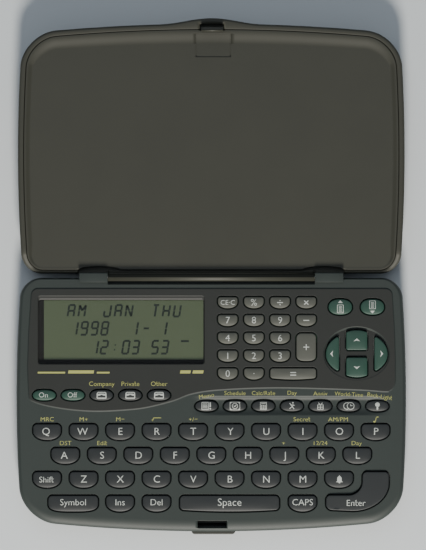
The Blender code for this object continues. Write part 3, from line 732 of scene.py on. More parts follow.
def over(node, z0, z1):
    """A cutting box round a CAD node, with the usual gap."""
    x0, x1, y0, y1, *_ = box_mm(node)
    return box_tool(x0 - GAP, x1 + GAP, y0 - GAP, y1 + GAP, z0, z1)


def cut_hinge_and_latch(housing):
    """The hinge trough and ears, the slot for the catch and the place of the release button."""
    weld(housing, box_tool(-36.0, 36.0, 37.9, 40.6, 7.0, 9.4))
    cut(housing, box_tool(-34.05, 34.05, 39.3, 46.0, 8.2, 13.0))
    for side in (-1, 1):
        profile = [(HINGE_Y + 1.45, 9.2), *arc((HINGE_Y + 1.05, HINGE_Z + 0.7), 0.4, 0, 90, 6),
                   *arc((HINGE_Y - 1.62, HINGE_Z + 1.0), 0.1, 90, 180, 4), (HINGE_Y - 1.72, 9.0),
                   (HINGE_Y - 1.2, 6.2), (HINGE_Y - 0.1, 6.2), (HINGE_Y + 0.9, 7.3)]
        x0, x1 = sorted((side * (EAR[0] - 0.26), side * EAR[1]))
        weld(housing, rod_x(profile, x0, x1, 0.12))
    cut(housing, over("display_window", 8.0, box_mm("display_window")[5] + GAP))
    cut(housing, over("display_panel", 8.0, GLASS_TOP + 0.1))
    x0, x1, *_ = box_mm("latch_button")
    cut(housing, box_tool(*CATCH_SLOT, -40.7, -38.3, 8.0, 12.0))
    cut(housing, box_tool(x0 - GAP, x1 + GAP, -44.0, -39.0, 5.3, 8.1))


def make_latch_button():
    """The release tab: a frame whose window takes the hook, with a softened tip."""
    x0, x1, tip, back, low, high = box_mm("latch_button")
    r, soft = 1.1, 0.28
    outline = arcs(((x0 + r, tip + r), r, 180, 270, 10), ((x1 - r, tip + r), r, 270, 360, 10)) + [(x1, back), (x0, back)]
    eased = [(offset(outline, -soft), 0.0), (offset(outline, -soft * 0.3), soft * 0.3), (outline, soft)]
    levels = [(shape, low + rise) for shape, rise in eased] + [(shape, high - rise) for shape, rise in eased[::-1]]
    button = piece("release_tab", loft(levels), SHELL, "latch_button")
    cut(button, box_tool(*CATCH_SLOT, -41.2, -39.1, 0.0, 12.0))
    cut(button, box_tool(*CATCH_SLOT, -41.2, -30.0, 0.0, low + 1.2))
    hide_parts("latch_button")


def make_bottom_housing():
    """The bottom moulding, with the two screw wells and the opening for the battery cover."""
    outline = base_outline()
    inner = offset(outline, -WALL)
    levels = [(offset(outline, -1.6 * (1 - s)), 1.6 * (1 - c)) for s, c in quarter(7)]
    levels += [(outline, SPLIT_LOW - 0.25), (offset(outline, -0.25), SPLIT_LOW), (inner, SPLIT_LOW), (inner, 1.6)]
    tray = piece("bottom_housing", loft(levels), SHELL, "base")
    for name in ("case_screw_left", "case_screw_right"):
        centre, *_ = cap_box(name)
        weld(tray, prism(circle(centre, 3.2, 40), 1.0, 2.8))
        well = circle(centre, 2.2, 40)
        cut(tray, loft([(circle(centre, 2.5, 40), -0.3), (well, 0.25), (well, 1.8)]))
        cut(tray, prism(circle(centre, 1.1, 24), 1.0, 4.0))
    x0, x1, y0, *_ = box_mm("battery_cover")
    for drawn, low, high in ((0.0, 0.4, 1.3), (TONGUE, -1.0, 1.7)):
        cut(tray, box_tool(x0 + drawn - GAP, x1 - drawn + GAP, y0 - GAP, 45.0, low, high))
    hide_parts("lower_housing")


def make_battery_cover():
    """The cover has a tongue down each side and five grooves for the thumb."""
    x0, x1, y0, y1, _, top = box_mm("battery_cover")
    a0, a1 = x0 + TONGUE, x1 - TONGUE
    plate = soft_rectangle(a0, a1, y0, y1, 0.8)
    levels = [(soft_rectangle(a0 + 0.3, a1 - 0.3, y0 + 0.3, y1 - 1.1, 0.8), 0.0),
              (soft_rectangle(a0, a1, y0, y1 - 0.5, 0.8), 0.3), (plate, 1.1), (plate, top)]
    cover = piece("battery_door", loft(levels), SHELL, "battery_cover")
    weld(cover, box_tool(x0, x1, y0 + 0.5, y1 - 2.0, 0.65, 1.05))
    middle = (x0 + x1) / 2
    for i in range(5):
        y = y1 - 5.0 - 1.6 * i
        groove = [(y - 0.4, -0.2), (y + 0.4, -0.2), (y + 0.15, 0.3), (y - 0.15, 0.3)]
        cut(cover, rod_x(groove, middle - 7.0, middle + 7.0))
    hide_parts("battery_cover")


# ---- lid


def inset(distance):
    """The lid outline drawn in; along the hinge the wall is thinner."""
    start = HINGE_Y + LID_REAR_GAP + distance
    return [(x, y - 0.65 * max(0.0, 1 - (y - start) / 4.0)) for x, y in offset(lid_outline(0.0), -distance)]


def near_hinge(y):
    """1 along the hinge side of the lid, falling to 0 a little way up it."""
    return unit(1 - (y - HINGE_Y - 2.9) / 5.0)


def rim_level(drop=0.0):
    """The rim is level, but drops along the hinge."""
    return lambda x, y: 10.0 + drop - 2.0 * near_hinge(y)


def ear_relief(side, z0, z1, spread, rise):
    """The arched pocket that clears a hinge ear when the lid is closed."""
    x0, x1 = sorted((side * (EAR[0] - 0.4 - spread), side * (EAR[1] + 0.4)))
    arch = arc(((x0 + x1) / 2, HINGE_Y + 2.15), ((x1 - x0) / 2, rise), 0, 180, 24)
    return prism(arch + [(x0, HINGE_Y), (x1, HINGE_Y)], z0, z1, False)


def make_lid_tray():
    """The lid's outer moulding with barrel, ear notches and catch hook."""
    outline, inner = lid_outline(), inset(WALL)
    levels = [(offset(outline, -1.8 * (1 - s)), LID_BOTTOM + 1.8 * (1 - c)) for s, c in quarter(8)]
    levels += [(offset(outline, -drawn), rim_level(-drop)) if drawn else (outline, rim_level(-drop))
               for drawn, drop in ((0.0, 0.7), (0.12, 0.35), (0.42, 0.08), (0.7, 0.0))]
    levels += [(offset(inner, 0.1), rim_level()), (offset(inner, 0.02), rim_level(-0.04)),
               (inner, rim_level(-0.12)), (inner, 6.6)]
    tray = piece("lid_tray", loft(levels), LID_PLASTIC, "lid")
    for side in (-1, 1):
        cut(tray, ear_relief(side, 7.0, 11.0, 0.0, 0.9))
    front = [(y, z) for y, z in circle((HINGE_Y, HINGE_Z), 1.38, 72) if y < HINGE_Y + 0.07]
    front.sort(key=lambda p: math.atan2(p[1] - HINGE_Z, HINGE_Y + 0.5 - p[0]))
    profile = [(HINGE_Y + 0.1, HINGE_Z + 0.75), (HINGE_Y + 0.75, HINGE_Z + 0.72), (HINGE_Y + 0.8, 8.5),
               (HINGE_Y + 1.3, 7.7), (HINGE_Y + 2.2, 7.4), (HINGE_Y + 2.2, 6.7), (HINGE_Y + 1.2, 6.7), *front]
    weld(tray, rod_x(profile[::-1], -34.0, 34.0))
    cut(tray, box_tool(-3.85, 4.15, 122.9, 124.95, 7.4, 12.0))
    hook = [(123.0, 6.2), (123.7, 6.2), (123.7, 13.7), (122.75, 14.7), (122.6, 14.7), (122.3, 14.3), (122.3, 13.8),
            (123.0, 13.8)]
    weld(tray, rod_x(hook, CATCH_X - 3.6, CATCH_X + 3.6))
    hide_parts("lid_shell")


LINER_EDGE = 9.9
LINER_FLOOR = 9.1
SIDE_REACH, HINGE_REACH, FAR_REACH = 2.2, 0.95, 4.6


def make_lid_panel():
    """The dished liner: a fine parting line, a soft fall from the edge and a flat floor."""
    edge = inset(WALL + 0.2)
    inward = offset(edge, -1.0)
    near, far = min(y for _, y in edge), max(y for _, y in edge)

    def reach(y):
        """The fall is widest at the far edge and narrowest along the hinge."""
        to_far = max(0.0, 1 - (far - y) / 11.0)
        to_near = max(0.0, 1 - (y - near) / 8.0)
        return SIDE_REACH + (FAR_REACH - SIDE_REACH) * to_far ** 0.8 + (HINGE_REACH - SIDE_REACH) * to_near

    def drawn(share):
        return [(x + (px - x) * share * reach(y), y + (py - y) * share * reach(y))
                for (x, y), (px, py) in zip(edge, inward)]

    def surface(t, drop=0.0):
        return lambda x, y: (LINER_FLOOR + (LINER_EDGE - LINER_FLOOR - 0.72 * near_hinge(y)) * (1 - ease(t)) - drop)

    levels = [(offset(edge, -1.6), 7.0), (edge, 8.4), (edge, surface(0.0, 0.1)),
              (offset(edge, -0.04), surface(0.0, 0.02)), (offset(edge, -0.12), surface(0.0))]
    levels += [(drawn(0.08 + 0.92 * i / 16), surface(i / 16)) for i in range(1, 17)]
    liner = piece("lid_liner_panel", loft(levels), LID_PLASTIC, "lid")
    for side in (-1, 1):
        cut(liner, ear_relief(side, 6.0, 11.0, 4.0, 1.5))
    cut(liner, box_tool(-3.8, 4.3, 122.9, 125.0, 5.0, 12.0))
    grip = [(114.1, GRIP_TOP), (114.1, LINER_FLOOR - GRIP_DEPTH)]
    for i in range(13):
        climb = (FAR_REACH - 1.2) * i / 12
        grip.append((far - FAR_REACH + climb, surface(1 - climb / FAR_REACH, GRIP_DEPTH)(0.0, far)))
    grip.append((grip[-1][0], GRIP_TOP))
    cut(liner, rod_x(grip[::-1], -5.0, 6.3, 0.0, False))
    edge_line = [(y, z - 0.22 if z < GRIP_TOP else z) for y, z in grip]
    for x in (-5.15, 6.1):
        cut(liner, rod_x(edge_line[::-1], x, x + 0.35, 0.0, False))
    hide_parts("lid_liner")


# ---- keys


def crown_height(centre, width, height, top=PAD_TOP, crown=CROWN):
    """The domed top of a cap, as a function of the place."""
    def level(x, y):
        u = min(1.0, abs(x - centre[0]) / (width / 2))
        v = min(1.0, abs(y - centre[1]) / (height / 2))
        return top - crown + crown * (1 - u ** 4) * (1 - v * v)
    return level


def cap_mesh(bm, outline, level, foot):
    """A key cap: straight walls, a rounded edge and a crowned top."""
    rings = [ring(bm, outline, foot)]
    rings += [ring(bm, offset(outline, -CAP_EDGE * (1 - c)), lowered(level, CAP_EDGE * (1 - s))) for s, c in quarter(4)]
    bands(bm, rings)
    sheet(bm, rings[-1], (), level, 0.9)
    sheet(bm, rings[0], up=False)


def outline_box(outline):
    xs, ys = zip(*outline)
    return ((min(xs) + max(xs)) / 2, (min(ys) + max(ys)) / 2), max(xs) - min(xs), max(ys) - min(ys)


LEVELS = {}


def make_single_keys():
    """Block, power and cursor keys: each replaces its CAD node and rides on its own body."""
    for outlines, finish, slot in ((block_outlines(), DARK_KEY, "key_dark"), (power_outlines(), GREEN_KEY, "key_green"),
                                   (cursor_outlines(), GREEN_KEY, "key_green")):
        for name, outline in outlines.items():
            crown = 0.2 if name == "key_enter" else CROWN
            LEVELS[name] = crown_height(*outline_box(outline), box_mm(name)[5], crown)
            bm = bmesh.new()
            cap_mesh(bm, outline, LEVELS[name], KEY_FOOT)
            cap = piece(f"cap_{name[4:]}", bm, finish, name)
            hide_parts(name)


def cap_group(name, caps, finish, body):
    """One piece of several caps, each given by its outline and the shape of its top."""
    bm = bmesh.new()
    for outline, level in caps:
        cap_mesh(bm, outline, level, PAD_FOOT)
    return piece(name, bm, finish, body)


def oval_caps(centres, size, top=PAD_TOP):
    return [(oval(centre, *size), crown_height(centre, *size, top)) for centre in centres]


def make_keypads():
    caps = [(dee(*cap, PAD_STEPS), crown_height(*cap)) for *cap, _ in calculator_caps()]
    greys = cap_group("calculator_keys", caps, GREY_KEY, "calculator_keypad")
    cap_group("page_keys", oval_caps(PAGE_CENTRES, PAGE_SIZE), GREEN_KEY, "calculator_keypad")
    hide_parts("calculator_keypad")
    caps = oval_caps(DIRECTORY_CENTRES, OVAL_SIZE) + oval_caps(FUNCTION_CENTRES, OVAL_SIZE, SCOOP_CAP_TOP)
    darks = cap_group("function_keys", caps, DARK_KEY, "function_keypad")
    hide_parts("function_keypad")


# ---- printed legends

PRINT = 0.015


def flat_word(text, size, align):
    """A word in the built-in letters as flat faces."""
    curve = bpy.data.curves.new("word", "FONT")
    curve.body = text
    curve.size = size
    curve.align_x = align
    curve.align_y = "CENTER"
    curve.resolution_u = 3
    curve.offset = -0.012
    word = bpy.data.objects.new("word", curve)
    graph = bpy.context.evaluated_depsgraph_get()
    bpy.context.scene.collection.objects.link(word)
    graph.update()
    mesh = bpy.data.meshes.new_from_object(word.evaluated_get(graph))
    bpy.data.objects.remove(word)
    flat = bmesh.new()
    flat.from_mesh(mesh)
    bpy.data.meshes.remove(mesh)
    return flat


T_WIDTH = 0.332
T_STEM = ((0.078, 0.155), (0.167, 0.242), (0.167, 0.36), (0.078, 0.36))
T_BAR = ((-0.02, 0.069), (0.0, 0.069), (0.0, 0.079), (0.072, 0.149), (-0.02, 0.149))


def span(flat):
    xs = [v.co.x for v in flat.verts]
    return min(xs), max(xs)


def complete_t(flat, text, size):
    """Gives each t the tall stem and full bar that the built-in letter lacks."""
    start = span(flat)[0]
    for i in [i for i, letter in enumerate(text) if letter == "t"]:
        head, whole = flat_word(text[:i + 1], size, "LEFT"), flat_word(text, size, "LEFT")
        x = start + span(head)[1] - span(whole)[0] - T_WIDTH * size
        for polygon in (T_STEM, T_BAR):
            flat.faces.new([flat.verts.new((x + px * size, py * size, 0.0)) for px, py in polygon])
        head.free()
        whole.free()


def lettering(text, size, centre, level, turn=0.0, stretch=1.0):
    """A thin printed word as a mesh that follows the surface under it."""
    flat = flat_word(text, size, "CENTER")
    complete_t(flat, text, size)
    cos, sin = math.cos(math.radians(turn)), math.sin(math.radians(turn))
    for v in flat.verts:
        x, y = v.co.x * stretch, v.co.y
        v.co.x, v.co.y = centre[0] + x * cos - y * sin, centre[1] + x * sin + y * cos
    return thicken(flat, level)


def thicken(flat, level):
    """Turns flat faces in millimetres into a thin closed print that follows the surface."""
    bmesh.ops.remove_doubles(flat, verts=flat.verts, dist=0.0005)
    for _ in range(4):
        bmesh.ops.triangulate(flat, faces=flat.faces)
        long_edges = [e for e in flat.edges if e.calc_length() > 0.45]
        bmesh.ops.subdivide_edges(flat, edges=long_edges, cuts=1)
    lower = flat.faces[:]
    made = bmesh.ops.extrude_face_region(flat, geom=lower)
    for v in {g for g in made["geom"] if isinstance(g, bmesh.types.BMVert)}:
        v.co.z = 1.0
    for v in flat.verts:
        raised = v.co.z > 0.5
        v.co = (v.co.x * MM, v.co.y * MM, (level(v.co.x, v.co.y) + (PRINT if raised else -PRINT)) * MM)
    bmesh.ops.recalc_face_normals(flat, faces=flat.faces)
    return flat


def shapes(polygons, level):
    """Flat printed polygons."""
    flat = bmesh.new()
    for polygon in polygons:
        flat.faces.new([flat.verts.new((x, y, 0.0)) for x, y in polygon])
    return thicken(flat, level)


def join(parts):
    whole = bmesh.new()
    for part in parts:
        mesh = bpy.data.meshes.new("part")
        part.to_mesh(mesh)
        part.free()
        whole.from_mesh(mesh)
        bpy.data.meshes.remove(mesh)
    return whole


def stroke(x0, y0, x1, y1, width):
    """A straight line with a width."""
    length = math.hypot(x1 - x0, y1 - y0)
    nx, ny = -(y1 - y0) / length * width / 2, (x1 - x0) / length * width / 2
    return [(x0 - nx, y0 - ny), (x1 - nx, y1 - ny), (x1 + nx, y1 + ny), (x0 + nx, y0 + ny)]


def strokes(width, *lines):
    return [stroke(*line, width) for line in lines]


def border(x0, x1, y0, y1, width):
    """Four lines round a rectangle."""
    return strokes(width, (x0, y0, x0, y1), (x0, y1, x1, y1), (x1, y1, x1, y0), (x1, y0, x0, y0))


def hoop(centre, radius, width, steps=20):
    """A thin ring as quads."""
    outer, inner = circle(centre, radius, steps), circle(centre, radius - width, steps)
    return [[outer[i - 1], outer[i], inner[i], inner[i - 1]] for i in range(steps)]


def sum_sign(label, size, width):
    """The arithmetic signs as plain bars and dots."""
    half, w = size / 2, width / 2
    plus = [(-w, -half), (w, -half), (w, -w), (half, -w), (half, w), (w, w), (w, half), (-w, half), (-w, w),
            (-half, w), (-half, -w), (-w, -w)]
    cos = math.sqrt(0.5)
    bar = [rectangle(-half, half, -w, w)]
    return {"+": [plus], "×": [[(cos * (x - y), cos * (x + y)) for x, y in plus]], "−": bar,
            "=": [rectangle(-half, half, y - w, y + w) for y in (-0.42, 0.42)],
            "÷": bar + [circle((0.0, y), width * 0.62, 8) for y in (-0.68, 0.68)]}[label]


def moved(polygons, centre, scale=1.0):
    return [[(centre[0] + x * scale, centre[1] + y * scale) for x, y in polygon] for polygon in polygons]


def bell():
    body = arc((0.0, 0.25), (0.62, 0.75), 0, 180, 10) + [(-0.62, -0.35), (-0.95, -0.7), (0.95, -0.7), (0.62, -0.35)]
    clapper = arc((0.0, -0.72), 0.3, 180, 360, 6)
    return [body, clapper, circle((0.0, 1.05), 0.16, 8)]


def handset():
    """A telephone: a flat handset lying over a low body."""
    grip = [(-1.6, 0.35), (-1.25, 0.35), (-1.15, 0.74), (1.15, 0.74), (1.25, 0.35), (1.6, 0.35), (1.5, 0.8), (1.2, 1.05),
            (-1.2, 1.05), (-1.5, 0.8)]
    cradle = [(-1.6, 0.0), (-1.25, -0.2), (-0.6, -0.12), (0.0, 0.14), (0.6, -0.12), (1.25, -0.2), (1.6, 0.0),
              (1.6, 0.35), (1.25, 0.35), (0.6, 0.5), (-0.6, 0.5), (-1.25, 0.35), (-1.6, 0.35)]
    body = [(-1.6, 0.0), (-1.6, -0.95), (-1.4, -1.15), (1.4, -1.15), (1.6, -0.95), (1.6, 0.0), (1.3, -0.18),
            (1.3, -0.85), (-1.3, -0.85), (-1.3, -0.18)]
    return [grip, cradle, body]


def radical():
    return [stroke(-1.5, -0.1, -1.2, -0.5, 0.3), stroke(-1.25, -0.55, -1.0, 0.55, 0.24),
            stroke(-1.05, 0.5, 1.5, 0.5, 0.22)]


def quaver():
    return [oval((-0.35, -0.75), 0.8, 0.55, 10), stroke(-0.05, -0.75, 0.25, 0.8, 0.2), stroke(0.2, 0.7, 0.95, 0.8, 0.28)]


def note_page():
    lines = strokes(0.16, *((-0.95, y, 0.25, y) for y in (0.55, 0.2, -0.15, -0.5)))
    return (lines + border(-1.2, 0.5, -0.95, 0.95, 0.16)
            + [stroke(1.0, 0.95, 1.0, -0.3, 0.34), circle((1.0, -0.72), 0.22, 8)])


def planner():
    """A diary page: a frame with filled corners round a ringed tick."""
    corners = []
    for side, up in ((1, 1), (-1, 1), (-1, -1), (1, -1)):
        corner = [(side * 1.34, up * 1.04), (side * 0.7, up * 1.04), (side * 1.34, up * 0.45)]
        corners.append(corner if side == up else corner[::-1])
    return (corners + border(-1.28, 1.28, -1.0, 1.0, 0.12) + hoop((0.0, 0.0), 0.78, 0.15)
            + strokes(0.2, (-0.32, 0.08, -0.05, -0.25), (-0.05, -0.25, 0.35, 0.35)))


def little_calculator():
    grid = [rectangle(x - 0.14, x + 0.14, y - 0.12, y + 0.12) for x in (-0.45, 0.0, 0.45) for y in (-0.6, -0.25, 0.1)]
    return grid + border(-0.8, 0.8, -0.9, 0.95, 0.14) + [stroke(-0.55, 0.6, 0.55, 0.6, 0.16)]


def crossing():
    return [stroke(-0.6, 0.75, 0.55, -0.8, 0.2), stroke(0.5, 0.3, -0.6, -0.75, 0.18), circle((0.25, 0.85), 0.22, 8),
            stroke(-0.1, 0.35, 0.7, 0.15, 0.16)]


def gift():
    walls = strokes(0.14, *((x, -0.85, x, 0.25) for x in (-0.72, 0.0, 0.72)),
                    *((-0.8, y, 0.8, y) for y in (-0.85, -0.3, 0.3)))
    return walls + strokes(0.16, (-0.1, 0.4, -0.55, 0.85), (0.1, 0.4, 0.55, 0.85))


def clocks():
    """Two clock faces, one partly behind the other."""
    outer, inner = (arc((-0.5, 0.0), r, 62, 298, 20) for r in (0.95, 0.8))
    behind = [[a, b, d, c] for a, b, c, d in zip(outer, outer[1:], inner, inner[1:])]
    return hoop((0.45, 0.0), 0.98, 0.15) + behind + strokes(0.14, (0.45, 0.0, 0.45, 0.55), (0.45, 0.0, 0.9, 0.15))


def bulb():
    return [arc((0.0, 0.35), 0.6, -58, 238, 16), rectangle(-0.2, 0.2, -0.95, -0.2)]


def page_turn(sign):
    """A page with lines, and an arrow above it or below it."""
    low, high = (-2.0, 0.65) if sign > 0 else (-0.65, 2.0)
    lines = strokes(0.16, *((-0.55, low + d, 0.55, low + d) for d in (0.5, 0.9, 1.3, 1.7, 2.1)))
    arrow = [(-0.8, sign * 1.3), (0.8, sign * 1.3), (0.0, sign * 2.2)]
    return border(-1.0, 1.0, low, high, 0.17) + lines + [arrow if sign > 0 else arrow[::-1]]


WORDS = {"key_shift": ("Shift", 2.8), "key_symbol": ("Symbol", 3.0), "key_insert": ("Ins", 3.0),
         "key_delete": ("Del", 3.0), "key_space": ("Space", 3.5), "key_caps": ("CAPS", 3.0),
         "key_enter": ("Enter", 2.9), "key_on": ("On", 2.4), "key_off": ("Off", 2.4)}
ARROWS = {"key_up": (90, 0.0), "key_down": (270, 0.0), "key_left": (180, -0.2), "key_right": (0, 0.15)}
LETTER_SHIFTS = {"q": -0.3, "w": -0.3, "a": -0.3, "y": 0.3, "j": 0.35}
SECOND_FUNCTIONS = {"q": "MRC", "w": "M+", "e": "M−", "t": "+/−", "i": "Secret", "o": "AM/PM", "a": "DST",
                    "s": "Edit", "j": "+", "k": "12/24", "l": "Day"}
# Word, turn, shifts to the right and up, stretch
FUNCTION_NAMES = (("Memo", 9, 0.0, -0.9, 1.02), ("Schedule", 0, 0.0, 0.0, 1.02), ("Calc/Rate", 0, 0.0, 0.0, 1.02),
                  ("Day", 0, 0.0, 0.1, 1.02), ("Anniv", 0, 0.0, -0.1, 1.02), ("World-Time", -3, 0.0, -0.35, 0.94),
                  ("Back-Light", -9, 0.7, -1.0, 1.02))


def flat_deck(_x, _y):
    return DECK


def flat_panel(_x, _y):
    return PANEL


def make_key_legends():
    """White letters, words and arrows on the single keys."""
    arrow = [(0.55, 0.0), (-0.45, 1.1), (-0.15, 0.0), (-0.45, -1.1)]
    for name, level in LEVELS.items():
        (x, y), *_ = cap_box(name)
        if name in ARROWS:
            turn, shift = ARROWS[name]
            cos, sin = math.cos(math.radians(turn)), math.sin(math.radians(turn))
            turned = [(u * cos - v * sin + shift, u * sin + v * cos) for u, v in arrow]
            made = shapes(moved([turned], (x, y)), level)
        elif name == "key_alarm":
            made = shapes(moved(bell(), (x + 0.1, y + 0.05), 1.18), level)
        elif name in WORDS:
            word, size = WORDS[name]
            place = {"key_enter": (47.5, -32.5), "key_shift": (x - 0.2, y), "key_on": (x - 0.25, y),
                     "key_off": (x - 0.25, y)}.get(name, (x, y + 0.4))
            made = lettering(word, size, place, level)
        else:
            shift = LETTER_SHIFTS.get(name[-1], 0.1)
            made = lettering(name[-1].upper(), 3.4, (x + shift, y + 0.15), level)
        piece(f"legend_{name[4:]}", made, WHITE_PRINT, name, False)


def make_pad_legends():
    """White legends on the two keypads."""
    parts = []
    for *cap, label in calculator_caps():
        level = crown_height(*cap)
        if label in "÷×+−=":
            parts.append(shapes(moved(sum_sign(label, 1.9, 0.3), cap[0]), level))
        else:
            parts.append(lettering(label, 2.25 if len(label) > 1 else 3.2, cap[0], level))
    piece("calculator_legends", join(parts), WHITE_PRINT, "calculator_keypad", False)
    parts = [shapes(moved(page_turn(sign), centre, 0.98), crown_height(centre, *PAGE_SIZE))
             for centre, sign in zip(PAGE_CENTRES, (1, -1))]
    piece("page_legends", join(parts), WHITE_PRINT, "calculator_keypad", False)
    parts = [shapes(moved(handset(), centre), crown_height(centre, *OVAL_SIZE)) for centre in DIRECTORY_CENTRES]
    icons = (note_page, planner, little_calculator, crossing, gift, clocks, bulb)
    parts += [shapes(moved(icon(), centre, 1.25), crown_height(centre, *OVAL_SIZE, SCOOP_CAP_TOP))
              for icon, centre in zip(icons, FUNCTION_CENTRES)]
    piece("function_legends", join(parts), WHITE_PRINT, "function_keypad", False)


def make_deck_legends():
    """Small second-function words and signs in yellow above the keys, and the names of the oval keys."""
    def above(letter):
        (x, y), _, height = cap_box(f"key_{letter}")
        return x, y + height / 2 + 1.5

    parts = []
    for letter, word in SECOND_FUNCTIONS.items():
        x, y = above(letter)
        shift = 0.05 if letter in "qwertasdfg" else -0.25
        parts.append(lettering(word, 2.0, (x + shift, y), flat_deck, 0.0, 1.1))
    parts += [shapes(moved(mark(), above(letter)), flat_deck) for letter, mark in (("r", radical), ("p", quaver))]
    for (name, turn, right, up, stretch), (x, y) in zip(FUNCTION_NAMES, FUNCTION_CENTRES):
        parts.append(lettering(name, 1.96, (x + right, y + 4.2 + up), flat_deck, turn, stretch))
    parts += [lettering(word, 2.08, (x, y + 3.65), flat_panel, 0.0, 1.05)
              for word, (x, y) in zip(("Company", "Private", "Other"), DIRECTORY_CENTRES)]
    piece("second_function_legends", join(parts), YELLOW_PRINT, "base", False)


def make_panel_mark():
    """Plain printed bars below the display, where a maker would print a name."""
    x0, x1, y0, _ = display_opening()
    low = y0 - 3.1
    bars = ((x0 - 0.2, x0 + 8.8, 0.55), (x0 + 9.8, x0 + 18.2, 1.0), (x0 + 19.2, x0 + 23.4, 0.55),
            (x1 - 8.0, x1 - 4.6, 1.0), (x1 - 3.9, x1 - 0.4, 1.0))
    marks = [[(a, low), (b, low), (b + 0.2 * width, low + width), (a + 0.2 * width, low + width)]
             for a, b, width in bars]
    piece("panel_mark", shapes(marks, flat_panel), YELLOW_PRINT, "base", False)


# ---- display

SEGMENTS = {
    "0": "abcdef", "1": "bc", "2": "abged", "3": "abgcd", "5": "afgcd", "8": "abcdefg", "9": "abcdfg", "-": "g",
    "A": "abcefg", "H": "fegbc", "J": "bcde", "M": "febcpq", "N": "febcpr", "T": "aiv", "U": "fedcb", ":": ":",
}


CELL_WIDTH = 1.95
SEGMENT_WIDTH = 0.63
SLANT = 0.16
ROWS = ((16.9, 3.75, 3.55, ((11.3, "AM"), (23.2, "JAN"), (39.0, "THU"))),
        (10.9, 4.2, 3.36, ((12.2, "1998"), (31.95, "1"), (35.9, "-"), (41.45, "1"))),
        (4.7, 4.2, 3.2, ((18.9, "12"), (25.6, ":"), (29.2, "03"), (38.8, "53"))))


def segment_strokes(character, height):
    """The dark bars of one character cell, before slanting."""
    w, h, gap = CELL_WIDTH, height, 0.1
    bars = {"a": (gap, h, w - gap, h), "b": (w, h / 2 + gap, w, h - gap), "c": (w, gap, w, h / 2 - gap),
            "d": (gap, 0, w - gap, 0), "e": (0, gap, 0, h / 2 - gap), "f": (0, h / 2 + gap, 0, h - gap),
            "g": (gap, h / 2, w - gap, h / 2), "i": (w / 2, h / 2, w / 2, h - 0.35), "v": (w / 2, 0, w / 2, h / 2),
            "p": (0, h - gap, w / 2, h / 2 + gap), "q": (w, h - gap, w / 2, h / 2 + gap),
            "r": (w / 2, h / 2 - gap, w, gap)}
    if character == ":":
        return [rectangle(w / 2 - 0.22, w / 2 + 0.22, y - 0.22, y + 0.22) for y in (h * 0.3, h * 0.68)]
    return [stroke(*bars[s], SEGMENT_WIDTH) for s in SEGMENTS[character]]


def slab(node, low, high):
    """A plate over a CAD node's outline, its edges eased."""
    x0, x1, y0, y1, *_ = box_mm(node)
    outline = soft_rectangle(x0, x1, y0, y1, 0.4)
    eased = offset(outline, -0.06)
    return loft([(eased, low), (outline, low + 0.06), (outline, high - 0.06), (eased, high)], False)


def make_display():
    """The liquid crystal panel, its rows of characters and the window over it."""
    x0, _, y0, _, low, _ = box_mm("display_panel")
    glass = piece("display_cell", slab("display_panel", low, GLASS_TOP), DISPLAY_GREEN, "base")
    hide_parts("display_panel")
    top = box_mm("display_window")[5]
    window = piece("window_pane", slab("display_window", WINDOW_UNDER, top), CLEAR, "base")
    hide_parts("display_window")
    polygons = [stroke(x0 + 48.6, y0 + 8.8, x0 + 51.2, y0 + 8.8, SEGMENT_WIDTH)]
    for base, height, pitch, groups in ROWS:
        for left, text in groups:
            for i, character in enumerate(text):
                for bar in segment_strokes(character, height):
                    polygons.append([(x0 + left + i * pitch + x + SLANT * y, y0 + base + y) for x, y in bar])
    print_level = GLASS_TOP + 0.02
    piece("display_characters", shapes(polygons, lambda x, y: print_level), SEGMENT, "base", False)


def make_border_print_and_shade():
    """A dark border printed under the window's edge, widest at the left and front, where it is also painted shade for
    the recess walls.
    """
    x0, x1, y0, y1, *_ = box_mm("display_window")
    a0, a1, b0, b1 = display_opening()
    # The clear area is set in most at the left and front, so the band there is part print and part painted shade of the
    # recess walls.
    clear = soft_rectangle(a0 + 1.85, a1 - 0.3, b0 + 1.4, b1 - 1.12, 0.25)
    outer = soft_rectangle(x0 + 0.2, x1 - 0.2, y0 + 0.2, y1 - 0.2, 0.25)
    z = WINDOW_UNDER - 0.01
    bm = bmesh.new()
    rings = [ring(bm, outline, level) for outline, level in
             ((clear, z - 0.02), (outer, z - 0.02), (outer, z), (clear, z))]
    bands(bm, rings + rings[:1], False)
    piece("window_border_print_and_shade", bm, BORDER_PRINT_AND_SHADE, "base")


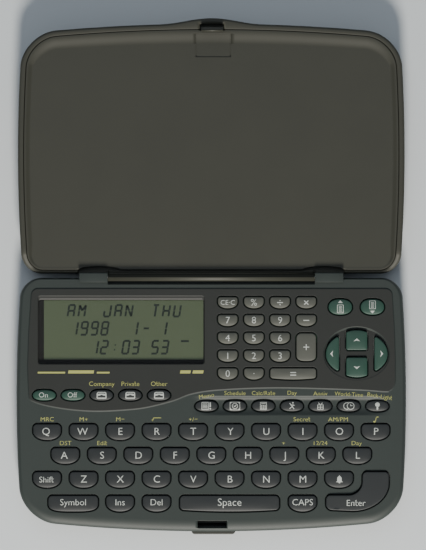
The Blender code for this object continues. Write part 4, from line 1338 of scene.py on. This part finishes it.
def finish_cad_nodes():
    """The CAD nodes that stay as they are get their materials."""
    finishes = {"backlight_panel": FOIL, "circuit_board": BOARD, "dome_sheet": RUBBER, "buzzer": BRASS}
    finishes |= dict.fromkeys(("battery_main", "battery_backup", "hinge_pin_left", "hinge_pin_right",
                               "case_screw_left", "case_screw_right"), STEEL)
    for name, finish in finishes.items():
        obj = frame["nodes"][name]
        obj.data.materials.clear()
        obj.data.materials.append(finish)


# ---- stage


def make_stage():
    bm = bmesh.new()
    bm.faces.new([bm.verts.new((x, y, 0.0)) for x, y in rectangle(-1.2, 1.2, -1.0, 1.4)])
    floor = piece("floor", bm)
    floor.data.materials.append(material("floor", Base_Color=(0.60, 0.64, 0.66, 1.0), Roughness=0.85)[0])


def area_light(name, place, target, size, power, colour):
    light = bpy.data.lights.new(name, "AREA")
    light.shape = "DISK"
    light.size = size
    light.energy = power
    light.color = colour
    obj = bpy.data.objects.new(name, light)
    bpy.context.scene.collection.objects.link(obj)
    obj.location = place
    obj.rotation_euler = (Vector(target) - Vector(place)).to_track_quat("-Z", "Y").to_euler()


def make_lights():
    middle = (0.0, 0.04, 0.0)
    area_light("key_light", (0.03, -0.88, 0.61), middle, 0.26, 22.3, (1.0, 0.95, 0.87))
    area_light("fill_light", (-0.1, 0.45, 0.95), middle, 0.9, 2.3, (0.88, 0.94, 1.0))
    world = bpy.data.worlds.new("studio")
    bpy.context.scene.world = world
    world.use_nodes = True
    set_inputs(world.node_tree.nodes["Background"], {"Color": (0.80, 0.88, 1.0, 1.0), "Strength": 0.23})


def make_camera():
    """Straight above, with a long lens."""
    lens = 300.0
    seen_height = 0.1808
    camera = bpy.data.cameras.new("camera")
    camera.lens = lens
    camera.sensor_width = 36.0
    camera.clip_end = 20.0
    obj = bpy.data.objects.new("camera", camera)
    bpy.context.scene.collection.objects.link(obj)
    distance = seen_height * lens / camera.sensor_width
    obj.location = (0.00056, 0.04246, DECK * MM + distance)
    bpy.context.scene.camera = obj


make_top_housing()
make_latch_button()
make_bottom_housing()
make_battery_cover()
make_lid_tray()
make_lid_panel()
make_single_keys()
make_keypads()
make_key_legends()
make_pad_legends()
make_deck_legends()
make_panel_mark()
make_display()
make_border_print_and_shade()
finish_cad_nodes()
make_stage()
make_lights()
make_camera()
